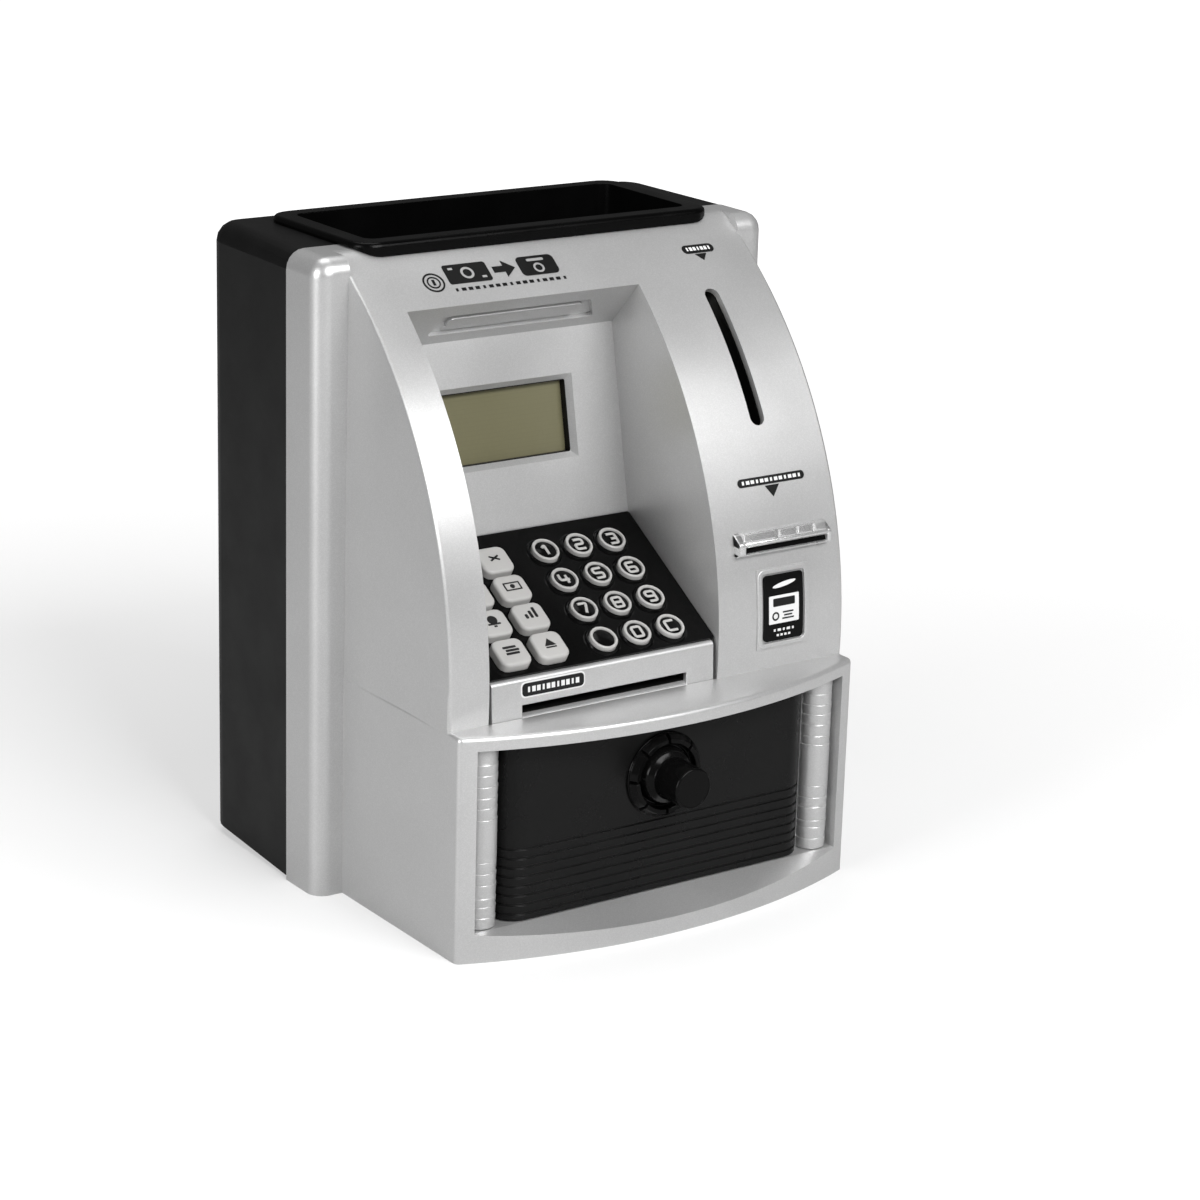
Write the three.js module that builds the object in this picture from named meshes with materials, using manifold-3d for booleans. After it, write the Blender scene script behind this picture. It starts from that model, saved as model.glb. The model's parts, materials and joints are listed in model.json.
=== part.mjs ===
// Toy cash machine savings bank: silver front housing, black back cover, keypad niche,
// coin slot, note feeder, card slot, top tray and a drawer with a turning knob.
// Millimetres, +Z up, -Y is the front. Each piece is drawn with y = 0 on the seam between
// the silver housing and the black cover. The last step moves everything along Y, so the
// origin ends up in the middle of the footprint, at floor level.

import * as THREE from 'three';
import { mergeVertices } from 'three/addons/utils/BufferGeometryUtils.js';
import Module from 'manifold-3d';

const wasm = await Module();
wasm.setup();

// ---------- driving sizes ----------

const GAP = 0.3;                 // clearance between neighbouring pieces
const WALL = 2.2;                // moulded wall of both shells

const TOP_Z = 203;               // flat top of both shells
const BODY_HALF = 74.2;          // half width of the plinth and of the foot of the fascia
const BODY_HALF_TOP = 73.0;      // half width of the fascia at the top
const FLANGE_HALF = 83.8;        // half width of the silver band that stands proud
const FLANGE_DEPTH = 18.4;
const FLANGE_CORNER = 6;

const SHELF_Z = 71.9;            // top of the plinth
const PLINTH_Y = -84.4;          // front corners of the plinth
const BOW = 14.4;                // how far the middle of the plinth bows forward
const LIP_Z = 67.5;              // underside of the lip above the drawer
const RIM_Z = 5.4;               // front rim under the drawer
const SILL_Z = 9.3;              // sill right in front of the drawer
const OPENING_HALF = 68.9;       // half width of the front opening
const PASSAGE_HALF = 58.1;       // half width of the passage the drawer runs through
const JAMB_Y = -79.8;            // front of the jambs behind the columns

const ARC_Y = 65.7;              // centre of the fascia curve, seen from the side
const ARC_Z = 79.87;
const ARC_R = 144.5;
const TOP_FILLET = 10;           // where the fascia runs into the top

const COVER_Y = 54;              // back of the black cover
const COVER_HALF = 83.5;         // half width at the seam
const COVER_HALF_BACK = 81.6;    // half width at the back
const COVER_CORNER = 10;
const COVER_TOP_EDGE = 6;
const COVER_FOOT = 0.9;          // underside of the cover at the seam and at the back
const COVER_FOOT_BACK = 3.2;
const COVER_CORNER_LOW = 6.5;    // rounding under the back

const NICHE_X0 = -60.1;          // left and right walls of the niche
const NICHE_X1 = 24.8;
const NICHE_CEILING = [-31.8, 188.8];   // [y, z] front edge of the ceiling
const NICHE_TOP = [-16.9, 173.1];       // ceiling meets the display wall
const NICHE_CREASE = [-28.7, 114.2];    // display wall meets the key panel
const NICHE_FRONT = [-77.3, 84.7];      // front end of the key panel

const TRAY_HALF = 66.3;          // rim of the top tray
const TRAY_Y0 = -13.8;
const TRAY_Y1 = 44.2;
const TRAY_TOP = 205.3;
const TRAY_FLOOR = 165;
const WELL_HALF = 61.5;
const WELL_Y0 = -9.2;
const WELL_Y1 = 39.4;
const TRAY_WALL = 1.8;

const COIN_X = 49.7;             // centre of the coin slot
const COIN_SLOT_WIDTH = 5.4;
const COIN_SLOT_LENGTH = 47.5;
const COIN_SLOT_Z = 166.5;

const NOTE_X0 = 32;              // note feeder bezel
const NOTE_X1 = 68;
const NOTE_Z = 112.6;
const ROLL_Y = -62;              // axis of the driven feed roller
const ROLL_Z = 105.6;
const ROLL_R = 6;
const PINCH_R = 4;
const PINCH_Z = ROLL_Z + ROLL_R + PINCH_R + 0.5;
const GEAR_MODULE = 0.6;
const GEAR_TEETH = 34;
const PINION_TEETH = 12;
const GEAR_DISTANCE = GEAR_MODULE * (GEAR_TEETH + PINION_TEETH) / 2;
const MOTOR_Z = ROLL_Z - GEAR_DISTANCE;

const DRAWER_FACE = -85.5;       // flat face of the drawer front
const DRAWER_HALF = 57.5;
const DRAWER_Z0 = 9.7;
const DRAWER_Z1 = 66.9;
const DRAWER_END_R = 8;          // rounded ends of the drawer front
const DRAWER_DEPTH = 8;
const RIB_PITCH = 3.0;           // fine ribs across the lower part of the drawer front
const RIB_COUNT = 8;
const RIB_Z0 = 11.4;

const KNOB_Z = 47.3;
const KNOB_FRONT = -101.4;
const KNOB_GRIP_R = 6.7;
const DIAL_R = 13.75;
const DIAL_FACETS = 8;

const KEY_ROUND_R = 4.55;        // round keys, three across and four down
const KEY_ROUND_X = [-14.3, -1.7, 10.9];
const KEY_ROUND_S = [12.0, 24.6, 37.2, 49.8];
const KEY_SQUARE_X = [-47.9, -34.2];
const KEY_SQUARE_S = [13.2, 25.2, 37.1, 49.1];
const KEY_SQUARE_W = 10.9;
const KEY_SQUARE_H = 10.5;
const KEY_NAMES = [
  ['key_digit_1', 'key_digit_2', 'key_digit_3'],
  ['key_digit_4', 'key_digit_5', 'key_digit_6'],
  ['key_digit_7', 'key_digit_8', 'key_digit_9'],
  ['key_blank', 'key_digit_0', 'key_clear'],
];

// the finished object is centred between the knob and the back of the cover
const SHIFT_Y = -(KNOB_FRONT + COVER_Y) / 2;

// ---------- small geometry helpers ----------

// Rounds the corners of a closed outline. Each point is [a, b] or [a, b, radius].
function rounded(points, steps = 4) {
  const out = [];
  const n = points.length;
  for (let i = 0; i < n; i += 1) {
    const [x, y, r] = points[i];
    if (!r) {
      out.push([x, y]);
      continue;
    }
    const p = new THREE.Vector2(x, y);
    const before = new THREE.Vector2(...points[(i + n - 1) % n].slice(0, 2)).sub(p).normalize();
    const after = new THREE.Vector2(...points[(i + 1) % n].slice(0, 2)).sub(p).normalize();
    const half = Math.acos(THREE.MathUtils.clamp(before.dot(after), -1, 1)) / 2;
    const centre = before.clone().add(after).normalize().multiplyScalar(r / Math.sin(half)).add(p);
    const start = before.clone().multiplyScalar(r / Math.tan(half)).add(p).sub(centre).angle();
    const end = after.clone().multiplyScalar(r / Math.tan(half)).add(p).sub(centre).angle();
    let sweep = end - start;
    if (sweep > Math.PI) sweep -= 2 * Math.PI;
    if (sweep < -Math.PI) sweep += 2 * Math.PI;
    for (let k = 0; k <= steps; k += 1) {
      const a = start + sweep * k / steps;
      out.push([centre.x + r * Math.cos(a), centre.y + r * Math.sin(a)]);
    }
  }
  return out;
}

function arc(ca, cb, r, from, to, steps) {
  const out = [];
  for (let k = 0; k <= steps; k += 1) {
    const a = from + (to - from) * k / steps;
    out.push([ca + r * Math.cos(a), cb + r * Math.sin(a)]);
  }
  return out;
}

function circle(ca, cb, r, steps) {
  return arc(ca, cb, r, 0, 2 * Math.PI, steps).slice(0, -1);
}

function roundedBox(a0, a1, b0, b1, r, steps = 4) {
  return rounded([[a0, b0, r], [a1, b0, r], [a1, b1, r], [a0, b1, r]], steps);
}

function outline(points, holes = []) {
  const shape = new THREE.Shape(points.map(([a, b]) => new THREE.Vector2(a, b)));
  shape.holes = holes.map((h) => new THREE.Path(h.map(([a, b]) => new THREE.Vector2(a, b))));
  return shape;
}

// Straight prism from w0 to w1 along the local third axis, with rounded long edges.
function prism(points, w0, w1, edge = 0, holes = [], segments = 2) {
  const geometry = new THREE.ExtrudeGeometry(outline(points, holes), {
    depth: w1 - w0 - 2 * edge,
    steps: 1,
    bevelEnabled: edge > 0,
    bevelThickness: edge,
    bevelSize: edge,
    bevelOffset: -edge,
    bevelSegments: segments,
  });
  return geometry.translate(0, 0, w0 + edge);
}

const ALONG_X = new THREE.Matrix4().makeBasis(
  new THREE.Vector3(0, 1, 0), new THREE.Vector3(0, 0, 1), new THREE.Vector3(1, 0, 0));
const ALONG_Y = new THREE.Matrix4().makeBasis(
  new THREE.Vector3(1, 0, 0), new THREE.Vector3(0, 0, 1), new THREE.Vector3(0, -1, 0));

// outline in [y, z], thickness along X
function prismX(points, x0, x1, edge = 0, holes = [], segments = 2) {
  return prism(points, x0, x1, edge, holes, segments).applyMatrix4(ALONG_X);
}

// outline in [x, z], thickness along Y
function prismY(points, y0, y1, edge = 0, holes = [], segments = 2) {
  return prism(points, -y1, -y0, edge, holes, segments).applyMatrix4(ALONG_Y);
}

// outline in [x, y], thickness along Z
function prismZ(points, z0, z1, edge = 0, holes = [], segments = 2) {
  return prism(points, z0, z1, edge, holes, segments);
}

function box(x0, x1, y0, y1, z0, z1) {
  const geometry = new THREE.BoxGeometry(x1 - x0, y1 - y0, z1 - z0);
  return geometry.translate((x0 + x1) / 2, (y0 + y1) / 2, (z0 + z1) / 2);
}

function rodX(y, z, r, x0, x1, steps = 20) {
  return prismX(circle(y, z, r, steps), x0, x1);
}

function rodY(x, z, r, y0, y1, steps = 20) {
  return prismY(circle(x, z, r, steps), y0, y1);
}

// Turned part on an axis along Y. Profile points are [radius, y], from the front backwards.
function turnedY(profile, x, z, steps) {
  const points = profile.map(([r, y]) => new THREE.Vector2(r, y));
  return new THREE.LatheGeometry(points, steps).translate(x, 0, z);
}

// ---------- solids ----------

function toSolid(geometry) {
  const g = geometry.clone();
  g.deleteAttribute('normal');
  g.deleteAttribute('uv');
  const merged = mergeVertices(g, 1e-4);
  return new wasm.Manifold(new wasm.Mesh({
    numProp: 3,
    vertProperties: new Float32Array(merged.attributes.position.array),
    triVerts: new Uint32Array(merged.index.array),
  }));
}

function join(...parts) {
  return parts.map((p) => (p.isBufferGeometry ? toSolid(p) : p)).reduce((a, b) => a.add(b));
}

function cut(base, ...tools) {
  const body = base.isBufferGeometry ? toSolid(base) : base;
  return tools.map((t) => (t.isBufferGeometry ? toSolid(t) : t)).reduce((a, b) => a.subtract(b), body);
}

function common(a, b) {
  const first = a.isBufferGeometry ? toSolid(a) : a;
  return first.intersect(b.isBufferGeometry ? toSolid(b) : b);
}

function toGeometry(solid) {
  const mesh = solid.getMesh();
  const geometry = new THREE.BufferGeometry();
  geometry.setAttribute('position', new THREE.BufferAttribute(new Float32Array(mesh.vertProperties), 3));
  geometry.setIndex(new THREE.BufferAttribute(new Uint32Array(mesh.triVerts), 1));
  return geometry;
}

// ---------- materials ----------

const finish = (color, roughness, metalness = 0) => ({ color, roughness, metalness });
const SILVER = finish(0xbcbdc0, 0.38, 0.55);
const SATIN_BLACK = finish(0x17171a, 0.5);
const DRAWER_BLACK = finish(0x111113, 0.42);
const GLOSS_BLACK = finish(0x0a0a0c, 0.16);
const KEY_GREY = finish(0xd2d1cd, 0.36);
const LCD_OLIVE = finish(0x807c5a, 0.12);
const RUBBER = finish(0x2a2a2b, 0.85);
const CIRCUIT_GREEN = finish(0x1f5c38, 0.5);
const STEEL = finish(0xb5b8bc, 0.3, 0.9);
const WHITE_NYLON = finish(0xe6e4dc, 0.45);
const CELL_JACKET = finish(0xb7793a, 0.35, 0.3);
const LABEL_PAPER = finish(0x202124, 0.3);

const bank = new THREE.Group();
bank.name = 'toy_cash_machine_bank';

function add(name, solid, look) {
  const geometry = solid.isBufferGeometry ? toGeometry(toSolid(solid)) : toGeometry(solid);
  const mesh = new THREE.Mesh(geometry.translate(0, SHIFT_Y, 0), new THREE.MeshStandardMaterial(look));
  mesh.name = name;
  bank.add(mesh);
}

// ---------- shared outlines ----------

// Side outline of the fascia from the foot up to the flat top, inset by a wall thickness.
function fasciaCurve(inset, footZ, steps) {
  const r = ARC_R - inset;
  const filletZ = TOP_Z - TOP_FILLET;
  const filletY = ARC_Y - Math.sqrt((ARC_R - TOP_FILLET) ** 2 - (filletZ - ARC_Z) ** 2);
  const start = Math.PI - Math.asin((footZ - ARC_Z) / r);
  const end = Math.atan2(filletZ - ARC_Z, filletY - ARC_Y);
  const main = arc(ARC_Y, ARC_Z, r, start, end, steps);
  const crown = arc(filletY, filletZ, TOP_FILLET - inset, end, Math.PI / 2, 5).slice(1);
  return main.concat(crown);
}

// everything over the fascia and the top, between the side walls
function overCurve(inset, half) {
  const end = inset > 0 ? 6 : 0;
  const edge = fasciaCurve(inset, 150, 30).concat([[end, TOP_Z - inset], [end, 230], [-90, 230]]);
  return prismX(edge, -half, half);
}

function fasciaY(z, inset = 0) {
  return ARC_Y - Math.sqrt((ARC_R - inset) ** 2 - (z - ARC_Z) ** 2);
}

// Body seen from the side: fascia in front, open end past the seam.
function bodyProfile(inset, footZ, steps = 60) {
  return fasciaCurve(inset, footZ, steps).concat([[6, TOP_Z - inset], [6, footZ]]);
}

const BOW_R = (BODY_HALF ** 2 + BOW ** 2) / (2 * BOW);
const BOW_CENTRE_Y = PLINTH_Y - BOW + BOW_R;

function bowCurve(half, steps) {
  const a = Math.asin(half / BOW_R);
  return arc(0, BOW_CENTRE_Y, BOW_R, -Math.PI / 2 - a, -Math.PI / 2 + a, steps);
}

// The walls of the body lean in a little towards the top.
function taper(geometry) {
  const p = geometry.attributes.position;
  const lean = (BODY_HALF - BODY_HALF_TOP) / BODY_HALF / (TOP_Z - SHELF_Z);
  for (let i = 0; i < p.count; i += 1) {
    p.setX(i, p.getX(i) * (1 - lean * Math.max(0, p.getZ(i) - SHELF_Z)));
  }
  return geometry;
}

// frame of a sloping plane of the niche: local [x, distance from the crease, height above]
function slopeFrame(from, to) {
  const run = new THREE.Vector3(0, to[0] - from[0], to[1] - from[1]).normalize();
  const across = new THREE.Vector3(1, 0, 0);
  const out = new THREE.Vector3().crossVectors(across, run);
  return new THREE.Matrix4().makeBasis(across, run, out).setPosition(0, from[0], from[1]);
}

const DISPLAY_FRAME = slopeFrame(NICHE_CREASE, NICHE_TOP);
// the key panel is drawn from its front end upwards, so its outward side stays positive
const KEY_LENGTH = Math.hypot(NICHE_FRONT[0] - NICHE_CREASE[0], NICHE_FRONT[1] - NICHE_CREASE[1]);
const KEY_FRAME = slopeFrame(NICHE_FRONT, NICHE_CREASE);

function onDisplay(geometry) {
  return geometry.applyMatrix4(DISPLAY_FRAME);
}

function onKeys(geometry) {
  return geometry.applyMatrix4(KEY_FRAME);
}

// window of the display, in the frame of the display wall
const WINDOW = { x0: -41.4, x1: 6.0, s0: 21.0, s1: 43.9 };
const CHAMFER = 1.7;             // frame that slopes down into the window

// ---------- front housing ----------

// The niche seen from the side. The ceiling line is carried on past the fascia.
const CEILING_SLOPE = (NICHE_CEILING[1] - NICHE_TOP[1]) / (NICHE_CEILING[0] - NICHE_TOP[0]);
const NICHE_FRONT_Z = NICHE_TOP[1] + CEILING_SLOPE * (-60 - NICHE_TOP[0]);
const WALL_END = [NICHE_CREASE[0] + 2.6, NICHE_CREASE[1] - 13];

// outside of the niche walls
function nicheShell() {
  return [
    [-60, NICHE_FRONT_Z + 3],
    [NICHE_TOP[0] + WALL, NICHE_TOP[1] + 1.1 * WALL],
    [NICHE_CREASE[0] + WALL, NICHE_CREASE[1]],
    [WALL_END[0] + WALL, WALL_END[1]],
    [-60, SHELF_Z - 1.3],
    [-110, SHELF_Z - 1.3],
    [-110, NICHE_FRONT_Z + 3],
  ];
}

// the hollow itself, open downwards behind the key panel, with a shallow seat for the card bezel
function nicheHollow() {
  return [
    [-60, NICHE_FRONT_Z],
    NICHE_TOP,
    NICHE_CREASE,
    WALL_END,
    [WALL_END[0] + 9, WALL_END[1]],
    [WALL_END[0] + 9, SHELF_Z - 1.3],
    [fasciaY(SHELF_Z) - 0.1, SHELF_Z - 1.3],
    [fasciaY(SHELF_Z) - 0.1, SHELF_Z + 0.02],
    [-110, SHELF_Z + 0.02],
    [-110, NICHE_FRONT_Z],
  ];
}

function coinSlotTool() {
  const half = COIN_SLOT_WIDTH / 2;
  const reach = COIN_SLOT_LENGTH / 2;
  const slot = rounded([
    [-half, -reach, half - 0.01], [half, -reach, half - 0.01],
    [half, reach, half - 0.01], [-half, reach, half - 0.01],
  ], 5);
  const y = fasciaY(COIN_SLOT_Z);
  const out = new THREE.Vector3(0, y - ARC_Y, COIN_SLOT_Z - ARC_Z).normalize();
  const up = new THREE.Vector3().crossVectors(out, new THREE.Vector3(1, 0, 0));
  const frame = new THREE.Matrix4().makeBasis(new THREE.Vector3(1, 0, 0), up, out);
  frame.setPosition(COIN_X, y, COIN_SLOT_Z);
  return prism(slot, -9, 6).applyMatrix4(frame);
}

const BOARD_Y = -8;              // front face of the main board

// screw posts near the four corners of the seam
const SCREW_SPOTS = [[-67.2, 14], [67.2, 14], [-67.2, 186], [67.2, 186]];

function makeHousing() {
  const body = taper(prismX(bodyProfile(0, 30), -BODY_HALF, BODY_HALF, 1.0));
  const flange = prismY(rounded([
    [-FLANGE_HALF, -6], [FLANGE_HALF, -6],
    [FLANGE_HALF, TOP_Z, FLANGE_CORNER], [-FLANGE_HALF, TOP_Z, FLANGE_CORNER],
  ], 5), -FLANGE_DEPTH, 6, 5.4, [], 6);
  const bow = bowCurve(BODY_HALF, 40);
  bow[0].push(2.0);
  bow[bow.length - 1].push(2.0);
  const plinth = prismZ(rounded([[-BODY_HALF, 8], ...bow, [BODY_HALF, 8]], 3), -8, SHELF_Z, 1.3, [], 3);
  // the band stops where the fascia runs over the top between the side walls
  const above = overCurve(0, BODY_HALF_TOP - 0.6);
  let shell = join(cut(flange, above), body, plinth);
  shell = cut(shell, box(-100, 100, 0, 20, -20, 220), box(-100, 100, -120, 20, -20, 0));

  // hollow
  const inside = taper(prismX(bodyProfile(WALL, SHELF_Z - 5), -BODY_HALF + WALL, BODY_HALF - WALL));
  const lower = box(-BODY_HALF + WALL, BODY_HALF - WALL, JAMB_Y + WALL, 6, WALL, SHELF_Z - WALL);
  const ledge = box(-BODY_HALF, BODY_HALF, -90, -71, SHELF_Z - WALL, SHELF_Z - 1.3);
  const band = prismY(rounded([
    [-FLANGE_HALF + WALL, WALL], [FLANGE_HALF - WALL, WALL],
    [FLANGE_HALF - WALL, TOP_Z - WALL, FLANGE_CORNER - WALL],
    [-FLANGE_HALF + WALL, TOP_Z - WALL, FLANGE_CORNER - WALL],
  ], 4), -FLANGE_DEPTH + WALL, 6);
  shell = cut(shell, cut(inside, ledge), lower, cut(band, overCurve(WALL, BODY_HALF_TOP)));

  // front opening with its sloping sill, and the passage behind it
  const front = prismX([
    [JAMB_Y, SILL_Z], [DRAWER_FACE, SILL_Z], [-98.9, RIM_Z], [-120, RIM_Z],
    [-120, LIP_Z], [JAMB_Y, LIP_Z],
  ], -OPENING_HALF, OPENING_HALF);
  shell = cut(shell, front, box(-PASSAGE_HALF, PASSAGE_HALF, -90, -70, SILL_Z, LIP_Z));

  // niche: walls, then the hollow of the niche itself
  const wallX0 = NICHE_X0 - WALL;
  const wallX1 = NICHE_X1 + WALL;
  const outerSolid = taper(prismX(bodyProfile(0.4, SHELF_Z - 1.3), -BODY_HALF + 1, BODY_HALF - 1));
  const nicheWalls = common(prismX(nicheShell(), wallX0, wallX1), outerSolid);
  const { x0, x1, s0, s1 } = WINDOW;
  const tunnel = prism(roundedBox(x0 - WALL, x1 + WALL, s0 - WALL, s1 + WALL, 1.2, 2), -6.4, -0.2);
  shell = join(shell, nicheWalls);
  shell = cut(shell, prismX(nicheHollow(), NICHE_X0, NICHE_X1));
  shell = join(shell, onDisplay(tunnel));

  // window with a mitred chamfer that runs down into it
  const hole = prism(roundedBox(x0, x1, s0, s1, 0.6, 2), -9, 3);
  const chamfer = prism(roundedBox(x0 - CHAMFER, x1 + CHAMFER, s0 - CHAMFER, s1 + CHAMFER, 0),
    -CHAMFER, 4, CHAMFER, [], 1);
  shell = cut(shell, onDisplay(hole), onDisplay(chamfer));

  // the shelf runs on under the niche
  shell = join(shell, box(NICHE_X0 - 1, NICHE_X1 + 1, -80, -71, SHELF_Z - WALL - 0.2, SHELF_Z - 1.3));

  // shallow pocket with a rounded strip in the niche ceiling
  const ceiling = slopeFrame(NICHE_TOP, NICHE_CEILING);
  const recess = rounded([[-46.4, 4.6, 0.8], [15.0, 4.6, 0.8], [9.6, 14.4, 0.8], [-44.4, 14.4, 0.8]], 2);
  const pocket = prism(recess, -1.4, 1.4).applyMatrix4(ceiling);
  const strip = prism(roundedBox(-41.5, 8.5, 7.2, 12.2, 2.2, 3), -1.8, -0.3, 0.5).applyMatrix4(ceiling);
  shell = join(cut(shell, pocket), strip);

  // coin slot and note mouth
  const mouth = box(NOTE_X0 + 3, NOTE_X1 - 3, -90, -66, NOTE_Z - 3, NOTE_Z + 2.4);
  shell = cut(shell, coinSlotTool(), mouth);

  // raised outline around the label
  const bandOuter = arcBand(39.6, 60.0, 78.6, 104.2, -0.4, 0.5);
  const bandInner = arcBand(41.3, 58.3, 79.9, 102.9, -0.2, 1.5);
  shell = join(shell, cut(bandOuter, bandInner));

  // two pegs that carry the main board
  for (const x of [-53, 16]) {
    shell = join(shell, rodY(x, 150, 2.4, -20.5, BOARD_Y - GAP, 12));
  }

  // the top tray drops through here
  shell = cut(shell, prismZ(roundedBox(-WELL_HALF - 0.6, WELL_HALF + 0.6, WELL_Y0 - 0.6, 20, 5), 190, 215));

  // screw posts with a web to the side wall
  for (const [x, z] of SCREW_SPOTS) {
    const side = Math.sign(x);
    const post = join(
      rodY(x, z, 3.6, -15.6, -GAP, 16),
      box(Math.min(x, side * 72.4), Math.max(x, side * 72.4), -15.6, -GAP, z - 1, z + 1),
      box(Math.min(x, side * 72.4), Math.max(x, side * 72.4), -17.8, -14.6, z - 3, z + 3),
    );
    shell = join(shell, post);
    shell = cut(shell, rodY(x, z, 1.6, -13, 1, 12));
  }
  return shell;
}

// Piece of the fascia skin between two heights, thickness measured outward from the fascia.
function arcBand(x0, x1, z0, z1, t0, t1, steps = 6, edge = 0) {
  const low = Math.PI - Math.asin((z0 - ARC_Z) / ARC_R);
  const high = Math.PI - Math.asin((z1 - ARC_Z) / ARC_R);
  const outer = arc(ARC_Y, ARC_Z, ARC_R + t1, low, high, steps);
  const inner = arc(ARC_Y, ARC_Z, ARC_R + t0, high, low, steps);
  return prismX(outer.concat(inner), x0, x1, edge);
}

// ---------- back cover ----------

function coverPlan(inset) {
  return rounded([
    [-COVER_HALF + inset, -8], [COVER_HALF - inset, -8],
    [COVER_HALF_BACK - inset, COVER_Y - inset, COVER_CORNER - inset],
    [-COVER_HALF_BACK + inset, COVER_Y - inset, COVER_CORNER - inset],
  ], 6);
}

// Side view of the cover: the underside climbs slightly towards its rounded back edge.
function coverSide(inset) {
  return rounded([
    [-40, COVER_FOOT + inset], [0, COVER_FOOT + inset],
    [COVER_Y - inset, COVER_FOOT_BACK + inset, COVER_CORNER_LOW - inset],
    [COVER_Y - inset, 230], [-40, 230],
  ], 6);
}

const BATTERY = { x0: 2, x1: 58, z0: 84, z1: 138, y0: 31.5 };
const DOOR = { x0: 4, x1: 56, z0: 86, z1: 136 };

function makeCover() {
  let shell = toSolid(prismZ(coverPlan(0), -20, TOP_Z, COVER_TOP_EDGE, [], 4));
  shell = common(cut(shell, box(-100, 100, -20, GAP, -40, 220)), prismX(coverSide(0), -100, 100));
  const inside = toSolid(prismZ(coverPlan(WALL), -20, TOP_Z - WALL, COVER_TOP_EDGE - WALL, [], 3));
  shell = cut(shell, common(inside, prismX(coverSide(WALL), -100, 100)));

  // opening for the tray
  const mouth = roundedBox(-WELL_HALF - 0.6, WELL_HALF + 0.6, -20, WELL_Y1 + 0.6, 5);
  shell = cut(shell, prismZ(mouth, 190, 215));

  // deep screw tubes, blind end at the seam with a hole for the shank
  for (const [x, z] of SCREW_SPOTS) {
    const tube = rodY(x, z, 4.2, GAP, COVER_Y + 2, 16);
    shell = join(shell, common(tube, prismZ(coverPlan(0.6), 0, TOP_Z - 1)));
    shell = cut(shell, rodY(x, z, 2.9, 6, COVER_Y + 4, 14), rodY(x, z, 1.6, -1, 8, 12));
  }

  // battery door opening with a step to rest on, and the speaker grille
  shell = cut(shell,
    box(DOOR.x0 - GAP, DOOR.x1 + GAP, COVER_Y - 1.5, COVER_Y + 3, DOOR.z0 - GAP, DOOR.z1 + GAP),
    box(DOOR.x0 + 2, DOOR.x1 - 2, COVER_Y - 6, COVER_Y + 3, DOOR.z0 + 2, DOOR.z1 - 2));
  for (let i = 0; i < 6; i += 1) {
    const z = 97 + i * 6;
    const half = Math.sqrt(21 ** 2 - (z - 112) ** 2) - 2;
    shell = cut(shell, box(-36 - half, -36 + half, COVER_Y - 6, COVER_Y + 3, z - 1.1, z + 1.1));
  }
  return shell;
}

function makeBatteryBox() {
  const y1 = COVER_Y - WALL - GAP;
  const tub = cut(
    box(BATTERY.x0, BATTERY.x1, BATTERY.y0, y1, BATTERY.z0, BATTERY.z1),
    box(BATTERY.x0 + 1.5, BATTERY.x1 - 1.5, BATTERY.y0 + 1.5, y1 + 4, BATTERY.z0 + 1.5, BATTERY.z1 - 1.5),
  );
  return tub;
}

function makeBatteryDoor() {
  const outline = roundedBox(DOOR.x0, DOOR.x1, DOOR.z0, DOOR.z1, 0.8, 2);
  const plate = prismY(outline, COVER_Y - 1.2, COVER_Y, 0.25);
  const inner = box(DOOR.x0 + 2.4, DOOR.x1 - 2.4, COVER_Y - 2.2, COVER_Y - 1, DOOR.z0 + 2.4, DOOR.z1 - 2.4);
  let door = join(plate, inner);
  for (let i = 0; i < 4; i += 1) {
    door = cut(door, box(24, 36, COVER_Y - 0.5, COVER_Y + 2, 124 + i * 2.4, 125.2 + i * 2.4));
  }
  return door;
}

// ---------- top tray ----------

function makeTray() {
  const rimOuter = roundedBox(-TRAY_HALF, TRAY_HALF, TRAY_Y0, TRAY_Y1, 8, 6);
  const rim = toSolid(prismZ(rimOuter, TOP_Z - 5.5, TRAY_TOP, 1.4, [], 3));
  const under = bodyProfile(-GAP, 150);
  const seat = join(
    prismX(under, -90, 90),
    box(-90, 90, -6, 60, 150, TOP_Z + GAP),
  );
  const wellOuter = roundedBox(-WELL_HALF, WELL_HALF, WELL_Y0, WELL_Y1, 4.5, 4);
  const wellInner = roundedBox(-WELL_HALF + TRAY_WALL, WELL_HALF - TRAY_WALL,
    WELL_Y0 + TRAY_WALL, WELL_Y1 - TRAY_WALL, 3.5, 4);
  const well = prismZ(wellOuter, TRAY_FLOOR, TRAY_TOP - 1);
  const hollow = prismZ(wellInner, TRAY_FLOOR + TRAY_WALL, TRAY_TOP + 5);
  return cut(join(cut(rim, seat), well), hollow);
}

// ---------- plinth columns ----------

const COLUMN_X = 63.5;
const COLUMN_R = 5.2;
const COLUMN_Z0 = SILL_Z + GAP;
const COLUMN_Z1 = LIP_Z - GAP;

// heights of the ribs in a column: two groups with a plain band between them
const COLUMN_LEVELS = [
  0, 3.6, 7, 9.8, 14, 17.6, 21.5, 35.1, 38.4, 41.9, 45.5, 48.7, 52.3, COLUMN_Z1 - COLUMN_Z0,
];
const COLUMN_STEPS = [0, 0.25];

// A half-round stack of ribs that stand out and back in turn.
function makeColumn(side) {
  const slabs = COLUMN_LEVELS.slice(1).map((level, i) => {
    const r = COLUMN_R - COLUMN_STEPS[i % COLUMN_STEPS.length];
    const half = arc(side * COLUMN_X, JAMB_Y - GAP, r, Math.PI, 2 * Math.PI, 10);
    return prismZ(half, COLUMN_Z0 + COLUMN_LEVELS[i], COLUMN_Z0 + level);
  });
  return join(...slabs);
}

// ---------- display ----------

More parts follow.
